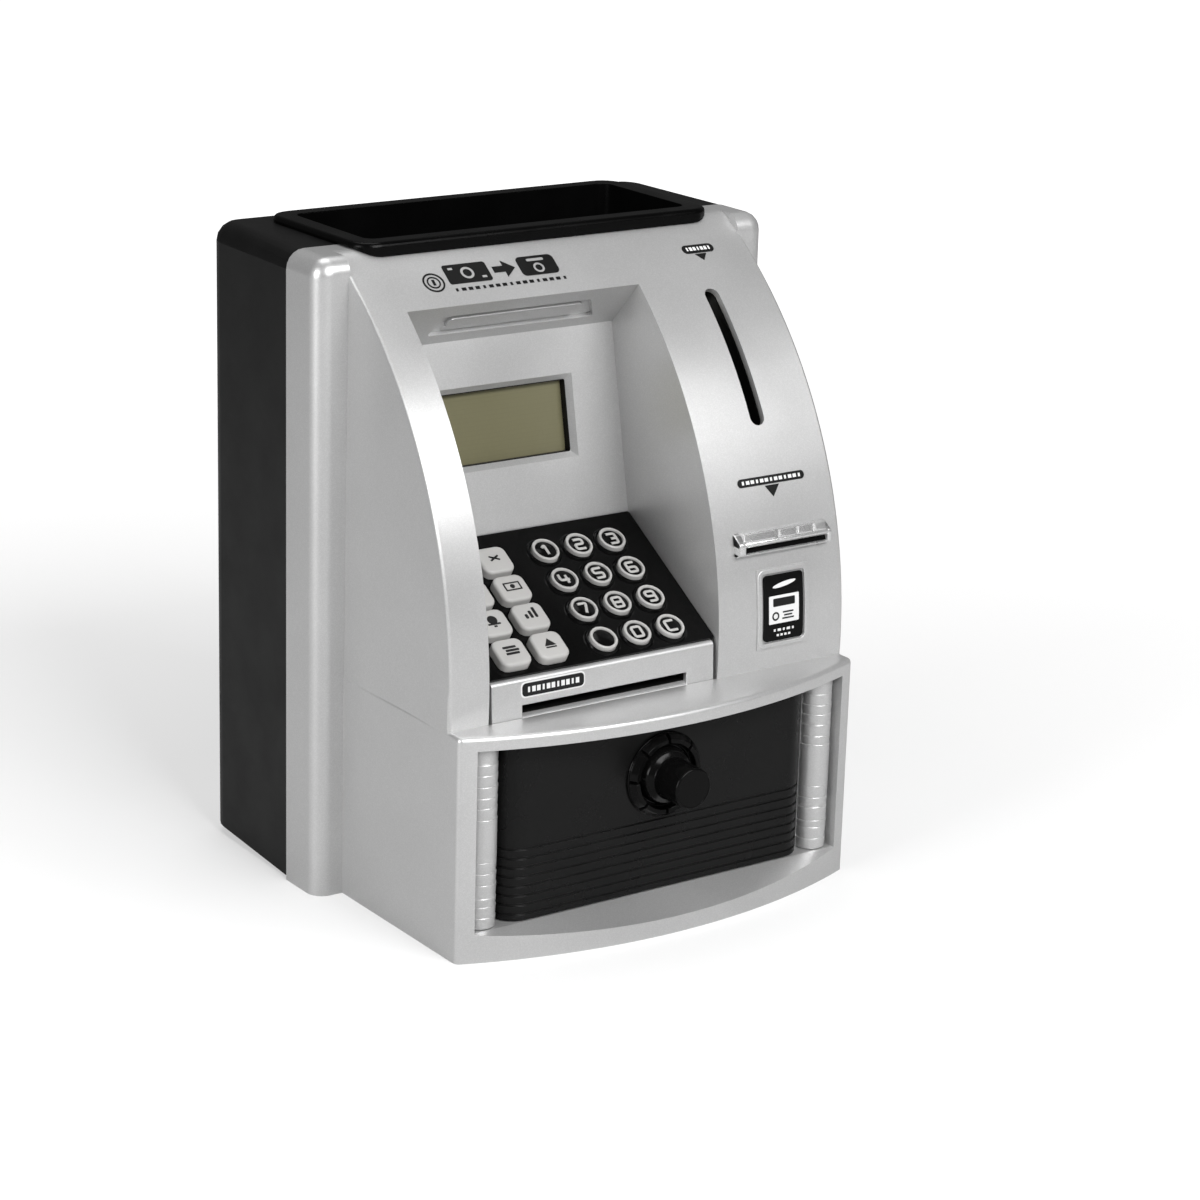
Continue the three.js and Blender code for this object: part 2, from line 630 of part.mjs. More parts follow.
function makeLens() {
  return onDisplay(prism(
    roundedBox(WINDOW.x0 + GAP, WINDOW.x1 - GAP, WINDOW.s0 + GAP, WINDOW.s1 - GAP, 0.4, 1), -5.4, -4.2));
}

function makeDisplayModule() {
  const { x0, x1, s0, s1 } = WINDOW;
  return join(
    onDisplay(prism(roundedBox(x0 - 3, x1 + 3, s0 - 4, s1 + 4, 0.5, 1), -11, -6.8)),
    onDisplay(prism(roundedBox(x0 + 1, x1 - 1, s0 + 1, s1 - 1, 0.3, 1), -7, -5.7)),
  );
}

// ---------- keypad ----------

const PANEL_T = 2.0;
const CAP_BOTTOM = -3.2;
const SHEET_TOP = -6.6;

function keySpots() {
  const spots = [];
  KEY_ROUND_S.forEach((s, row) => KEY_ROUND_X.forEach((x, col) => {
    spots.push({ name: KEY_NAMES[row][col], x, s: KEY_LENGTH - s, round: true });
  }));
  KEY_SQUARE_S.forEach((s, row) => KEY_SQUARE_X.forEach((x, col) => {
    spots.push({ name: `key_side_${col + 1}_${row + 1}`, x, s: KEY_LENGTH - s, round: false });
  }));
  return spots;
}

function makePanel() {
  const holes = keySpots().map((k) => (k.round
    ? circle(k.x, k.s, KEY_ROUND_R + GAP + 0.05, 16)
    : roundedBox(k.x - KEY_SQUARE_W / 2 - GAP, k.x + KEY_SQUARE_W / 2 + GAP,
      k.s - KEY_SQUARE_H / 2 - GAP, k.s + KEY_SQUARE_H / 2 + GAP, 3.0, 3)));
  const plate = roundedBox(NICHE_X0 + GAP, NICHE_X1 - GAP, 0.5, KEY_LENGTH - 0.8, 0.5, 1);
  return onKeys(prism(plate, -PANEL_T, 0, 0, holes));
}

function makeRoundKey(k) {
  const profile = [
    [0, CAP_BOTTOM - 1], [KEY_ROUND_R + 1.0, CAP_BOTTOM - 1], [KEY_ROUND_R + 1.0, CAP_BOTTOM],
    [KEY_ROUND_R, CAP_BOTTOM], [KEY_ROUND_R, 1.5], [KEY_ROUND_R - 0.35, 2.05],
    [KEY_ROUND_R - 1.15, 2.05], [KEY_ROUND_R - 1.5, 1.45], [0, 1.45],
  ];
  const points = profile.map(([r, w]) => new THREE.Vector2(r, w));
  const turned = new THREE.LatheGeometry(points, 16);
  turned.applyMatrix4(new THREE.Matrix4().makeRotationX(Math.PI / 2)).translate(k.x, k.s, 0);
  return onKeys(turned);
}

function makeSquareKey(k) {
  const w = KEY_SQUARE_W / 2;
  const h = KEY_SQUARE_H / 2;
  const foot = prism(roundedBox(k.x - w - 0.55, k.x + w + 0.55, k.s - h - 0.55, k.s + h + 0.55, 3, 3),
    CAP_BOTTOM - 1, CAP_BOTTOM);
  const cap = prism(roundedBox(k.x - w, k.x + w, k.s - h, k.s + h, 2.6, 4), CAP_BOTTOM - 3, 2.8, 0.8);
  const below = box(k.x - 20, k.x + 20, k.s - 20, k.s + 20, CAP_BOTTOM - 9, CAP_BOTTOM - 0.2);
  return join(onKeys(foot), cut(onKeys(cap), onKeys(below)));
}

function makeSheet() {
  return onKeys(prism(roundedBox(-56, 20.5, 3.4, KEY_LENGTH - 5.2, 1, 2), SHEET_TOP - 1.4, SHEET_TOP));
}

function makeKeyBoard() {
  const outline = roundedBox(-57, 21.5, 3.2, KEY_LENGTH - 5.2, 1, 2);
  return onKeys(prism(outline, SHEET_TOP - 3.3, SHEET_TOP - 1.7));
}

// ---------- card bezel ----------

const CARD = { x0: -47.7, x1: 13.2, z0: 72.7, z1: 75.7 };

function makeCardBezel() {
  const y0 = fasciaY(SHELF_Z) + 0.2;
  const face = prismX(rounded([
    [y0, SHELF_Z - 0.8], [-75.6, SHELF_Z - 0.8], [-75.6, 82.5], [-76.9, 84.4, 0.2],
    [y0 + 0.75, 84.4, 0.6],
  ], 3), NICHE_X0 + 1.4, NICHE_X1 - 1.2);
  const sleeve = box(CARD.x0 - 1.8, CARD.x1 + 1.8, -76.2, -46, SHELF_Z - 0.8, CARD.z1 + 1.4);
  const slot = box(CARD.x0, CARD.x1, -90, -48, CARD.z0, CARD.z1);
  const funnel = prismX([[-90, CARD.z0 - 0.5], [-76.6, CARD.z0], [-76.6, CARD.z1], [-90, CARD.z1]],
    CARD.x0, CARD.x1);
  return cut(join(face, sleeve), slot, funnel);
}

// ---------- note feeder ----------

function makeFeederBezel() {
  const y = fasciaY(NOTE_Z) - GAP;
  const z0 = NOTE_Z - 3.6;
  const z1 = NOTE_Z + 3.9;
  const lip = prismX(rounded([
    [y + 0.6, z0], [y - 1.6, z0 + 0.2, 0.8], [y - 3.6, NOTE_Z - 0.2, 0.6], [y - 4.6, NOTE_Z + 1.2, 0.8],
    [y - 3.2, z1 - 1.2, 0.8], [y + 0.9, z1],
  ], 3), NOTE_X0, NOTE_X1);
  const under = prismX(bodyProfile(-GAP, 80), NOTE_X0 - 2, NOTE_X1 + 2);
  const neck = box(NOTE_X0 + 3 + GAP, NOTE_X1 - 3 - GAP, -76, -72.2, NOTE_Z - 3 + GAP, NOTE_Z + 2.4 - GAP);
  const mouth = box(NOTE_X0 + 4.5, NOTE_X1 - 4.5, -90, -66, NOTE_Z - 1.6, NOTE_Z + 0.9);
  return cut(join(cut(lip, under), neck), mouth);
}

function makeNoteGuide() {
  const head = [[-72.2, 100], [-72.2, 113], [-69.6, 122], [-52, 122]];
  const left = prismX(head.concat([[-52, 84], [-70, 84], [-70, 100]]), 31.6, 33.4);
  const right = prismX(head.concat([[-52, 100]]), 66.4, 68.2);
  const rear = box(31.6, 68.2, -55, -52, 100, 110.4);
  const roof = box(31.6, 68.2, -56, -52, 113.4, 122);
  let guide = join(left, right, rear, roof);
  guide = cut(guide,
    rodX(ROLL_Y, ROLL_Z, 1.5 + GAP, 20, 80, 16),
    rodX(ROLL_Y, PINCH_Z, 1.2 + GAP, 20, 80, 14),
    rodX(ROLL_Y, MOTOR_Z, 1.6, 20, 40, 14));
  return guide;
}

// Straight-sided gear blank with clearance at the pitch line.
function gearOutline(y, z, teeth, turn) {
  const pitch = GEAR_MODULE * teeth / 2;
  const tip = pitch + 0.75 * GEAR_MODULE;
  const root = pitch - 1.1 * GEAR_MODULE;
  const step = 2 * Math.PI / teeth;
  const out = [];
  for (let i = 0; i < teeth; i += 1) {
    const a = turn + i * step;
    out.push([y + root * Math.cos(a - 0.33 * step), z + root * Math.sin(a - 0.33 * step)]);
    out.push([y + tip * Math.cos(a - 0.1 * step), z + tip * Math.sin(a - 0.1 * step)]);
    out.push([y + tip * Math.cos(a + 0.1 * step), z + tip * Math.sin(a + 0.1 * step)]);
    out.push([y + root * Math.cos(a + 0.33 * step), z + root * Math.sin(a + 0.33 * step)]);
  }
  return out;
}

const GEAR_X0 = 28.4;
const GEAR_X1 = 31.0;

function makeShaft() {
  return rodX(ROLL_Y, ROLL_Z, 1.5, GEAR_X0 - 0.3, 68.9, 16);
}

function makeSleeve() {
  return prismX(circle(ROLL_Y, ROLL_Z, ROLL_R, 28), 50, 64, 0, [circle(ROLL_Y, ROLL_Z, 1.5 + 0.1, 16)]);
}

function makeGear() {
  const blank = gearOutline(ROLL_Y, ROLL_Z, GEAR_TEETH, 0);
  return prismX(blank, GEAR_X0, GEAR_X1, 0, [circle(ROLL_Y, ROLL_Z, 1.5 + 0.1, 16)]);
}

function makePinion() {
  const wheel = prismX(gearOutline(ROLL_Y, MOTOR_Z, PINION_TEETH, PINION_TURN), GEAR_X0, GEAR_X1);
  return join(wheel, rodX(ROLL_Y, MOTOR_Z, 1.1, GEAR_X0, 37, 14));
}

// the gear has a tooth every step from angle 0; the pinion gets a space facing it
const GEAR_PHASE = ((-Math.PI / 2) / (2 * Math.PI / GEAR_TEETH)) % 1;
const PINION_TURN = Math.PI / 2 + (0.5 + GEAR_PHASE) * (2 * Math.PI / PINION_TEETH);

function makePinch() {
  return join(rodX(ROLL_Y, PINCH_Z, 1.2, 31.3, 68.9, 14), rodX(ROLL_Y, PINCH_Z, PINCH_R, 50, 64, 20));
}

function makeMotor() {
  return cut(
    join(rodX(ROLL_Y, MOTOR_Z, 6.8, 34, 53, 20), rodX(ROLL_Y, MOTOR_Z, 2, 52, 54.4, 12)),
    rodX(ROLL_Y, MOTOR_Z, 1.5, 30, 38, 14),
  );
}

// ---------- coin way ----------

const CHUTE_IN = 2.75;           // half of the clear width between the cheeks
const CHUTE_WALL = 1.6;
const LEVER_PIVOT = [-28, 178];

function chuteOutline(grow) {
  const front = arc(ARC_Y, ARC_Z, ARC_R - WALL - GAP - 0.1, Math.PI - Math.asin((143 - ARC_Z) / 142),
    Math.PI - Math.asin((188 - ARC_Z) / 142), 8);
  const inner = grow ? 0 : CHUTE_WALL;
  const edge = front.map(([y, z]) => [y - (grow ? 0 : 6), z]);
  return edge.concat([
    [-13.5 - inner, 188 - inner],
    [-13.5 - inner, 163 - inner],
    [16 - inner, 163 - inner],
    [16 - inner, grow ? 84 : 70],
    [-16 + inner, grow ? 84 : 70],
    [-16 + inner, 124 + inner],
    [edge[0][0], 141 + inner],
  ]);
}

function makeChute() {
  const outer = prismX(chuteOutline(true), COIN_X - CHUTE_IN - CHUTE_WALL, COIN_X + CHUTE_IN + CHUTE_WALL);
  const inner = prismX(chuteOutline(false), COIN_X - CHUTE_IN, COIN_X + CHUTE_IN);
  return cut(outer, inner, rodX(...LEVER_PIVOT, 1.0 + GAP, COIN_X - 10, COIN_X + 10, 12));
}

function makeLever() {
  const [y, z] = LEVER_PIVOT;
  const blade = rounded([
    [y - 1.6, z, 0.5], [y + 1.6, z, 0.5], [y + 0.9, z - 26, 0.4], [y - 0.9, z - 26, 0.4],
  ], 2);
  return join(prismX(blade, COIN_X - 1.0, COIN_X + 1.0), rodX(y, z, 2.0, COIN_X - 1.6, COIN_X + 1.6, 14),
    rodX(y, z, 1.0, COIN_X - CHUTE_IN - 2.2, COIN_X + CHUTE_IN + 2.2, 12));
}

// ---------- electronics ----------

function makeMainBoard() {
  const back = BOARD_Y + 1.6;
  return join(
    box(-58, 20, BOARD_Y, back, 92, 158),
    box(-30, -12, back - 0.2, back + 1.8, 108, 126),
    box(2, 12, back - 0.2, back + 3.4, 96, 104),
  );
}

function makeSpeaker() {
  const y = COVER_Y - WALL;
  return turnedY([
    [0, y - 13], [9, y - 13], [9, y - 8], [12, y - 8], [20, y - 3.4], [20, y - 0.4], [0, y - 0.4],
  ], -36, 112, 24);
}

function makeCell(i) {
  const x = 12 + i * 17.9;
  const y = 43.6;
  return prismZ(circle(x, y, 7.15, 20), 87, 135.8, 0, []);
}

// ---------- drawer ----------

function drawerPlan(inset, back) {
  return rounded([
    [-DRAWER_HALF + inset, back], [-DRAWER_HALF + inset, DRAWER_FACE + inset, DRAWER_END_R - inset],
    [DRAWER_HALF - inset, DRAWER_FACE + inset, DRAWER_END_R - inset], [DRAWER_HALF - inset, back],
  ], 6);
}

function makeDrawerFront() {
  const back = DRAWER_FACE + DRAWER_DEPTH;
  let front = toSolid(prismZ(drawerPlan(0, back), DRAWER_Z0, DRAWER_Z1));
  front = cut(front, prismZ(drawerPlan(2.2, back + 5), DRAWER_Z0 + 2, DRAWER_Z1 - 2));
  for (let i = 0; i < RIB_COUNT; i += 1) {
    const z = RIB_Z0 + i * RIB_PITCH;
    const groove = cut(
      prismZ(drawerPlan(-1, back + 1), z, z + 0.8),
      prismZ(drawerPlan(0.5, back + 3), z - 1, z + 2),
    );
    front = cut(front, groove);
  }
  front = cut(front, rodY(0, KNOB_Z, 3.4, -95, -70, 20));
  return front;
}

function makeDrawerTray() {
  const y0 = DRAWER_FACE + DRAWER_DEPTH + GAP;
  const outer = prismZ(roundedBox(-55.6, 55.6, y0, 34, 2.5, 3), DRAWER_Z0 + 0.2, 58);
  const inner = prismZ(roundedBox(-53.8, 53.8, y0 + 1.8, 32.2, 1.5, 3), DRAWER_Z0 + 2.0, 64);
  return cut(outer, inner);
}

function makeDial() {
  const y1 = DRAWER_FACE - 0.1;
  const ring = turnedY([
    [10.4, y1 - 3.0], [DIAL_R - 1.7, y1 - 3.0], [DIAL_R, y1 - 0.9], [DIAL_R, y1],
    [9.6, y1], [9.6, y1 - 2.2], [10.4, y1 - 3.0],
  ], 0, KNOB_Z, 32);
  let dial = toSolid(ring);
  for (let i = 0; i < DIAL_FACETS; i += 1) {
    const a = (i + 0.5) * 2 * Math.PI / DIAL_FACETS;
    const notch = box(10.6, DIAL_R + 1, y1 - 3.6, y1 - 1.6, -0.45, 0.45);
    notch.applyMatrix4(new THREE.Matrix4().makeRotationY(a)).translate(0, 0, KNOB_Z);
    dial = cut(dial, notch);
  }
  return dial;
}

function makeKnob() {
  const y1 = DRAWER_FACE - 0.4;
  return turnedY([
    [0, KNOB_FRONT], [KNOB_GRIP_R - 0.4, KNOB_FRONT], [KNOB_GRIP_R, KNOB_FRONT + 0.4],
    [KNOB_GRIP_R, y1 - 4.6], [8.2, y1 - 3.6], [9.2, y1 - 1.2], [9.2, y1],
    [3.0, y1], [3.0, DRAWER_FACE + 5.4], [0, DRAWER_FACE + 5.4],
  ], 0, KNOB_Z, 28);
}

const CAM_Y = DRAWER_FACE + 2.6;

function makeCam() {
  const lobe = rounded([
    [-4.6, KNOB_Z - 4.4, 3], [16.6, KNOB_Z - 3.2, 2.6], [16.6, KNOB_Z + 3.2, 2.6], [-4.6, KNOB_Z + 4.4, 3],
  ], 4);
  return cut(prismY(lobe, CAM_Y, CAM_Y + 1.8), rodY(0, KNOB_Z, 3.1, CAM_Y - 1, CAM_Y + 4, 20));
}

// ---------- drawer runner, label, screws ----------

// The runner is cut away underneath where it reaches over the climbing floor of the cover.
function makeRunner() {
  const plate = box(-54, 54, -76.9, 34, WALL + GAP, 4.2);
  const rails = [-50, 0, 47].map((x) => box(x, x + 3, -76.9, 34, 4, DRAWER_Z0 - 0.1));
  const fences = [-57.8, 56.4].map((x) => box(x, x + 1.4, -76.9, 34, WALL + GAP, 14));
  const ties = [-57.8, 53].map((x) => box(x, x + 4.8, -76.9, 34, WALL + GAP, 4.2));
  const climb = (COVER_FOOT_BACK - COVER_FOOT) / COVER_Y;
  const floor = COVER_FOOT + WALL + GAP;
  const coverFloor = prismX([
    [-0.5, -9], [-0.5, floor], [0, floor], [45, floor + climb * 45], [45, -9],
  ], -90, 90);
  return cut(join(plate, ...rails, ...fences, ...ties), coverFloor);
}

function makeScrew([x, z]) {
  return turnedY([[0, -11], [1.3, -11], [1.3, 6.3], [2.5, 6.3], [2.5, 8.4], [0, 8.4]], x, z, 12);
}

// ---------- assembly ----------

add('front_housing', makeHousing(), SILVER);
add('back_cover', makeCover(), SATIN_BLACK);
add('top_tray', makeTray(), GLOSS_BLACK);
add('column_left', makeColumn(-1), SILVER);
add('column_right', makeColumn(1), SILVER);
add('drawer_runner', makeRunner(), SATIN_BLACK);
add('display_lens', makeLens(), LCD_OLIVE);
add('display_module', makeDisplayModule(), SATIN_BLACK);
add('key_panel', makePanel(), GLOSS_BLACK);
for (const spot of keySpots()) {
  add(spot.name, spot.round ? makeRoundKey(spot) : makeSquareKey(spot), KEY_GREY);
}
add('key_sheet', makeSheet(), RUBBER);
add('key_board', makeKeyBoard(), CIRCUIT_GREEN);
add('card_bezel', makeCardBezel(), SILVER);
add('note_bezel', makeFeederBezel(), SILVER);
add('note_guide', makeNoteGuide(), SATIN_BLACK);
add('feed_shaft', makeShaft(), STEEL);
add('feed_sleeve', makeSleeve(), RUBBER);
add('feed_gear', makeGear(), WHITE_NYLON);
add('motor_pinion', makePinion(), WHITE_NYLON);
add('pinch_roller', makePinch(), WHITE_NYLON);
add('feed_motor', makeMotor(), STEEL);
add('coin_chute', makeChute(), SATIN_BLACK);
add('coin_lever', makeLever(), WHITE_NYLON);
add('main_board', makeMainBoard(), CIRCUIT_GREEN);
add('speaker', makeSpeaker(), SATIN_BLACK);
add('battery_box', makeBatteryBox(), SATIN_BLACK);
for (let i = 0; i < 3; i += 1) {
  add(`battery_cell_${i + 1}`, makeCell(i), CELL_JACKET);
}
add('battery_door', makeBatteryDoor(), SATIN_BLACK);
add('drawer_front', makeDrawerFront(), DRAWER_BLACK);
add('drawer_tray', makeDrawerTray(), DRAWER_BLACK);
add('dial_ring', makeDial(), GLOSS_BLACK);
add('knob', makeKnob(), GLOSS_BLACK);
add('cam_latch', makeCam(), STEEL);
add('info_label', arcBand(42.0, 57.6, 80.6, 102.2, 0.15, 0.75, 6, 0.2), LABEL_PAPER);
SCREW_SPOTS.forEach((spot, i) => add(`cover_screw_${i + 1}`, makeScrew(spot), STEEL));

export default bank;
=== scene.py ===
# Toy cash machine savings bank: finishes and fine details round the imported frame.
# Everything is in metres, +Z up, -Y is the front.

import json
import math
import random

import bmesh
import bpy
from mathutils import Matrix, Vector

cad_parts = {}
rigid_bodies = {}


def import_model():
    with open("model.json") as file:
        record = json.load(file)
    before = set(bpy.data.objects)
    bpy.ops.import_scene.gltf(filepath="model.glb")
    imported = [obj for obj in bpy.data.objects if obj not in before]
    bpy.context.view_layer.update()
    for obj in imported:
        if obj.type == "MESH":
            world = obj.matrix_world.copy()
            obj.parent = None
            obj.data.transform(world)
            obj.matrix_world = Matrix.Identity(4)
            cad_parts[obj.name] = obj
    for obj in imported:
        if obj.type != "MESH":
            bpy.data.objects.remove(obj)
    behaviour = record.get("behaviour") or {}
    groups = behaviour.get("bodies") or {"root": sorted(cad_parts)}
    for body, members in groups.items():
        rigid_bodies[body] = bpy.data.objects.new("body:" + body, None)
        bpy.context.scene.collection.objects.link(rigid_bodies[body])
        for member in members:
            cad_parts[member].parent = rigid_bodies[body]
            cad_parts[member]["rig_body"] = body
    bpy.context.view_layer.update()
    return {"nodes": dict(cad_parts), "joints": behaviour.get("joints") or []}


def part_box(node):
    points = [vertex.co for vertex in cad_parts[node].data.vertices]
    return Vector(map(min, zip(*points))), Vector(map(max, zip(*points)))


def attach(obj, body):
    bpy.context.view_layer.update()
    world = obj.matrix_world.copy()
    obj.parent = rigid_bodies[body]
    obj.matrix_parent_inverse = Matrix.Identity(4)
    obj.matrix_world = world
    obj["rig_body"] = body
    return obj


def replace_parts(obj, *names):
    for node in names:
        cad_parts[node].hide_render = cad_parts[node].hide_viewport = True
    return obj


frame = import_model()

MM = 0.001
MERGE_GAP = 2e-6                        # points closer than this become one
HOUSING = "housing"
scene = bpy.context.scene


# ---------- camera, floor and light ----------

def make_camera(place, target, roll, lens):
    data = bpy.data.cameras.new("camera")
    data.lens = lens
    data.sensor_width = 36
    data.clip_start = 0.05
    data.clip_end = 20
    camera = bpy.data.objects.new("camera", data)
    scene.collection.objects.link(camera)
    look = (Vector(target) - Vector(place)).to_track_quat("-Z", "Y").to_matrix().to_4x4()
    camera.matrix_world = Matrix.Translation(place) @ look @ Matrix.Rotation(math.radians(roll), 4, "Z")
    scene.camera = camera


def make_light(name, place, target, size, size_y, power):
    data = bpy.data.lights.new(name, "AREA")
    data.shape = "RECTANGLE"
    data.size = size
    data.size_y = size_y
    data.energy = power
    lamp = bpy.data.objects.new(name, data)
    scene.collection.objects.link(lamp)
    turn = (Vector(target) - Vector(place)).to_track_quat("-Z", "Y").to_matrix().to_4x4()
    lamp.matrix_world = Matrix.Translation(place) @ turn


make_camera((-0.5778, -0.8344, 0.4052), (0.01396, -0.0063, 0.08589), 1.67, 100.3)


# ---------- node helpers ----------

def new_group(name, inputs, outputs):
    group = bpy.data.node_groups.new(name, "ShaderNodeTree")
    for label, kind, value in inputs:
        socket = group.interface.new_socket(label, in_out="INPUT", socket_type=kind)
        if value is not None:
            socket.default_value = value
    for label, kind in outputs:
        group.interface.new_socket(label, in_out="OUTPUT", socket_type=kind)
    return group, group.nodes.new("NodeGroupInput"), group.nodes.new("NodeGroupOutput")


def put(tree, kind, **values):
    node = tree.nodes.new(kind)
    for key, value in values.items():
        setattr(node, key, value)
    return node


def feed(tree, node, **inputs):
    for key, value in inputs.items():
        socket = node.inputs[key.replace("_", " ")]
        if isinstance(value, bpy.types.NodeSocket):
            tree.links.new(value, socket)
        else:
            socket.default_value = value


def noise(tree, place, scale, detail=2.0, rough=0.5):
    node = put(tree, "ShaderNodeTexNoise")
    feed(tree, node, Scale=scale, Detail=detail, Roughness=rough)
    tree.links.new(place, node.inputs["Vector"])
    return node.outputs["Fac"]


def remap(tree, value, low, high, to_low, to_high):
    node = put(tree, "ShaderNodeMapRange")
    tree.links.new(value, node.inputs["Value"])
    node.inputs["From Min"].default_value = low
    node.inputs["From Max"].default_value = high
    for label, amount in (("To Min", to_low), ("To Max", to_high)):
        if isinstance(amount, bpy.types.NodeSocket):
            tree.links.new(amount, node.inputs[label])
        else:
            node.inputs[label].default_value = amount
    return node.outputs["Result"]


def arithmetic(tree, kind, a, b):
    node = put(tree, "ShaderNodeMath", operation=kind)
    for index, value in enumerate((a, b)):
        if isinstance(value, bpy.types.NodeSocket):
            tree.links.new(value, node.inputs[index])
        else:
            node.inputs[index].default_value = value
    return node.outputs[0]


def blend_colours(tree, share, first, second):
    node = put(tree, "ShaderNodeMix", data_type="RGBA")
    for index, value in ((0, share), (6, first), (7, second)):
        if isinstance(value, bpy.types.NodeSocket):
            tree.links.new(value, node.inputs[index])
        else:
            node.inputs[index].default_value = value
    return node.outputs[2]


# ---------- shared effects ----------

def make_grain_group():
    """Fine moulded texture: a height for bump and a mask that varies the roughness."""
    group, start, end = new_group(
        "fine_grain",
        [("Scale", "NodeSocketFloat", 1800.0), ("Smudge", "NodeSocketFloat", 60.0)],
        [("Height", "NodeSocketFloat"), ("Mask", "NodeSocketFloat")])
    place = put(group, "ShaderNodeTexCoord").outputs["Object"]
    grain = put(group, "ShaderNodeTexNoise")
    feed(group, grain, Scale=start.outputs["Scale"], Detail=3.0, Roughness=0.6)
    group.links.new(place, grain.inputs["Vector"])
    smudge = put(group, "ShaderNodeTexNoise")
    feed(group, smudge, Scale=start.outputs["Smudge"], Detail=4.0, Roughness=0.55)
    group.links.new(place, smudge.inputs["Vector"])
    group.links.new(grain.outputs["Fac"], end.inputs["Height"])
    group.links.new(smudge.outputs["Fac"], end.inputs["Mask"])
    return group


def make_flake_group():
    """Metal flake in the silver paint: small cells that differ in brightness, with a soft cloud over them."""
    group, start, end = new_group(
        "paint_flake",
        [("Base", "NodeSocketColor", None), ("Bright", "NodeSocketColor", None),
         ("Scale", "NodeSocketFloat", 4200.0)],
        [("Color", "NodeSocketColor"), ("Height", "NodeSocketFloat"), ("Mask", "NodeSocketFloat")])
    place = put(group, "ShaderNodeTexCoord").outputs["Object"]
    cells = put(group, "ShaderNodeTexVoronoi")
    feed(group, cells, Scale=start.outputs["Scale"])
    group.links.new(place, cells.inputs["Vector"])
    tint = put(group, "ShaderNodeSeparateColor")
    group.links.new(cells.outputs["Color"], tint.inputs[0])
    spark = remap(group, tint.outputs[0], 0.35, 1.0, 0.0, 0.55)
    cloud = noise(group, place, 26.0, 3.0)
    share = arithmetic(group, "ADD", spark, remap(group, cloud, 0.3, 0.7, 0.0, 0.3))
    group.links.new(blend_colours(group, share, start.outputs["Base"], start.outputs["Bright"]),
                    end.inputs["Color"])
    group.links.new(tint.outputs[1], end.inputs["Height"])
    group.links.new(cloud, end.inputs["Mask"])
    return group


def make_dust_group():
    """Faint dust and wear: more on faces that look up, broken by noise."""
    group, start, end = new_group(
        "light_dust",
        [("Clean", "NodeSocketColor", None), ("Dust", "NodeSocketColor", None),
         ("Amount", "NodeSocketFloat", 0.1)],
        [("Color", "NodeSocketColor"), ("Mask", "NodeSocketFloat")])
    place = put(group, "ShaderNodeTexCoord")
    normal = put(group, "ShaderNodeSeparateXYZ")
    group.links.new(put(group, "ShaderNodeNewGeometry").outputs["Normal"], normal.inputs[0])
    up = remap(group, normal.outputs["Z"], 0.2, 1.0, 0.0, 1.0)
    spots = remap(group, noise(group, place.outputs["Object"], 240.0, 5.0, 0.65), 0.45, 0.75, 0.15, 1.0)
    mask = arithmetic(group, "MULTIPLY", arithmetic(group, "MULTIPLY", up, spots), start.outputs["Amount"])
    group.links.new(blend_colours(group, mask, start.outputs["Clean"], start.outputs["Dust"]),
                    end.inputs["Color"])
    group.links.new(mask, end.inputs["Mask"])
    return group


GRAIN = make_grain_group()
FLAKE = make_flake_group()
DUST = make_dust_group()


def grey(value, alpha=1.0):
    return (value, value, value, alpha)


def start_material(name):
    material = bpy.data.materials.new(name)
    material.use_nodes = True
    return material, material.node_tree, material.node_tree.nodes["Principled BSDF"]


def place_group(tree, group, **inputs):
    node = put(tree, "ShaderNodeGroup", node_tree=group)
    feed(tree, node, **inputs)
    return node


def add_bump(tree, shader, height, strength, distance):
    bump = put(tree, "ShaderNodeBump")
    feed(tree, bump, Strength=strength, Distance=distance, Height=height)
    tree.links.new(bump.outputs["Normal"], shader.inputs["Normal"])


def moulded_plastic(name, colour, second, rough, grain=1800.0, bump=0.12, spread=0.06, dust=0.05, coat=0.0,
                    shine=0.5):
    """Plain moulded plastic with a fine grain, uneven gloss and a trace of dust."""
    material, tree, shader = start_material(name)
    texture = place_group(tree, GRAIN, Scale=grain)
    mix = blend_colours(tree, texture.outputs["Mask"], colour, second)
    dusty = place_group(tree, DUST, Clean=mix, Dust=grey(0.22), Amount=dust)
    tree.links.new(dusty.outputs["Color"], shader.inputs["Base Color"])
    tree.links.new(remap(tree, texture.outputs["Mask"], 0.3, 0.7, rough - spread, rough + spread),
                   shader.inputs["Roughness"])
    add_bump(tree, shader, texture.outputs["Height"], bump, 0.0001)
    shader.inputs["Specular IOR Level"].default_value = shine
    if coat:
        shader.inputs["Coat Weight"].default_value = coat
        shader.inputs["Coat Roughness"].default_value = 0.06
    return material


def silver_paint(name, base, bright, rough, metal, bump=0.10):
    """Silver paint over plastic: flakes under a satin top coat."""
    material, tree, shader = start_material(name)
    flake = place_group(tree, FLAKE, Base=base, Bright=bright)
    tree.links.new(flake.outputs["Color"], shader.inputs["Base Color"])
    tree.links.new(remap(tree, flake.outputs["Mask"], 0.3, 0.7, rough - 0.03, rough + 0.03),
                   shader.inputs["Roughness"])
    shader.inputs["Metallic"].default_value = metal
    shader.inputs["Coat Weight"].default_value = 0.22
    shader.inputs["Coat Roughness"].default_value = 0.22
    add_bump(tree, shader, flake.outputs["Height"], bump, 0.00004)
    return material


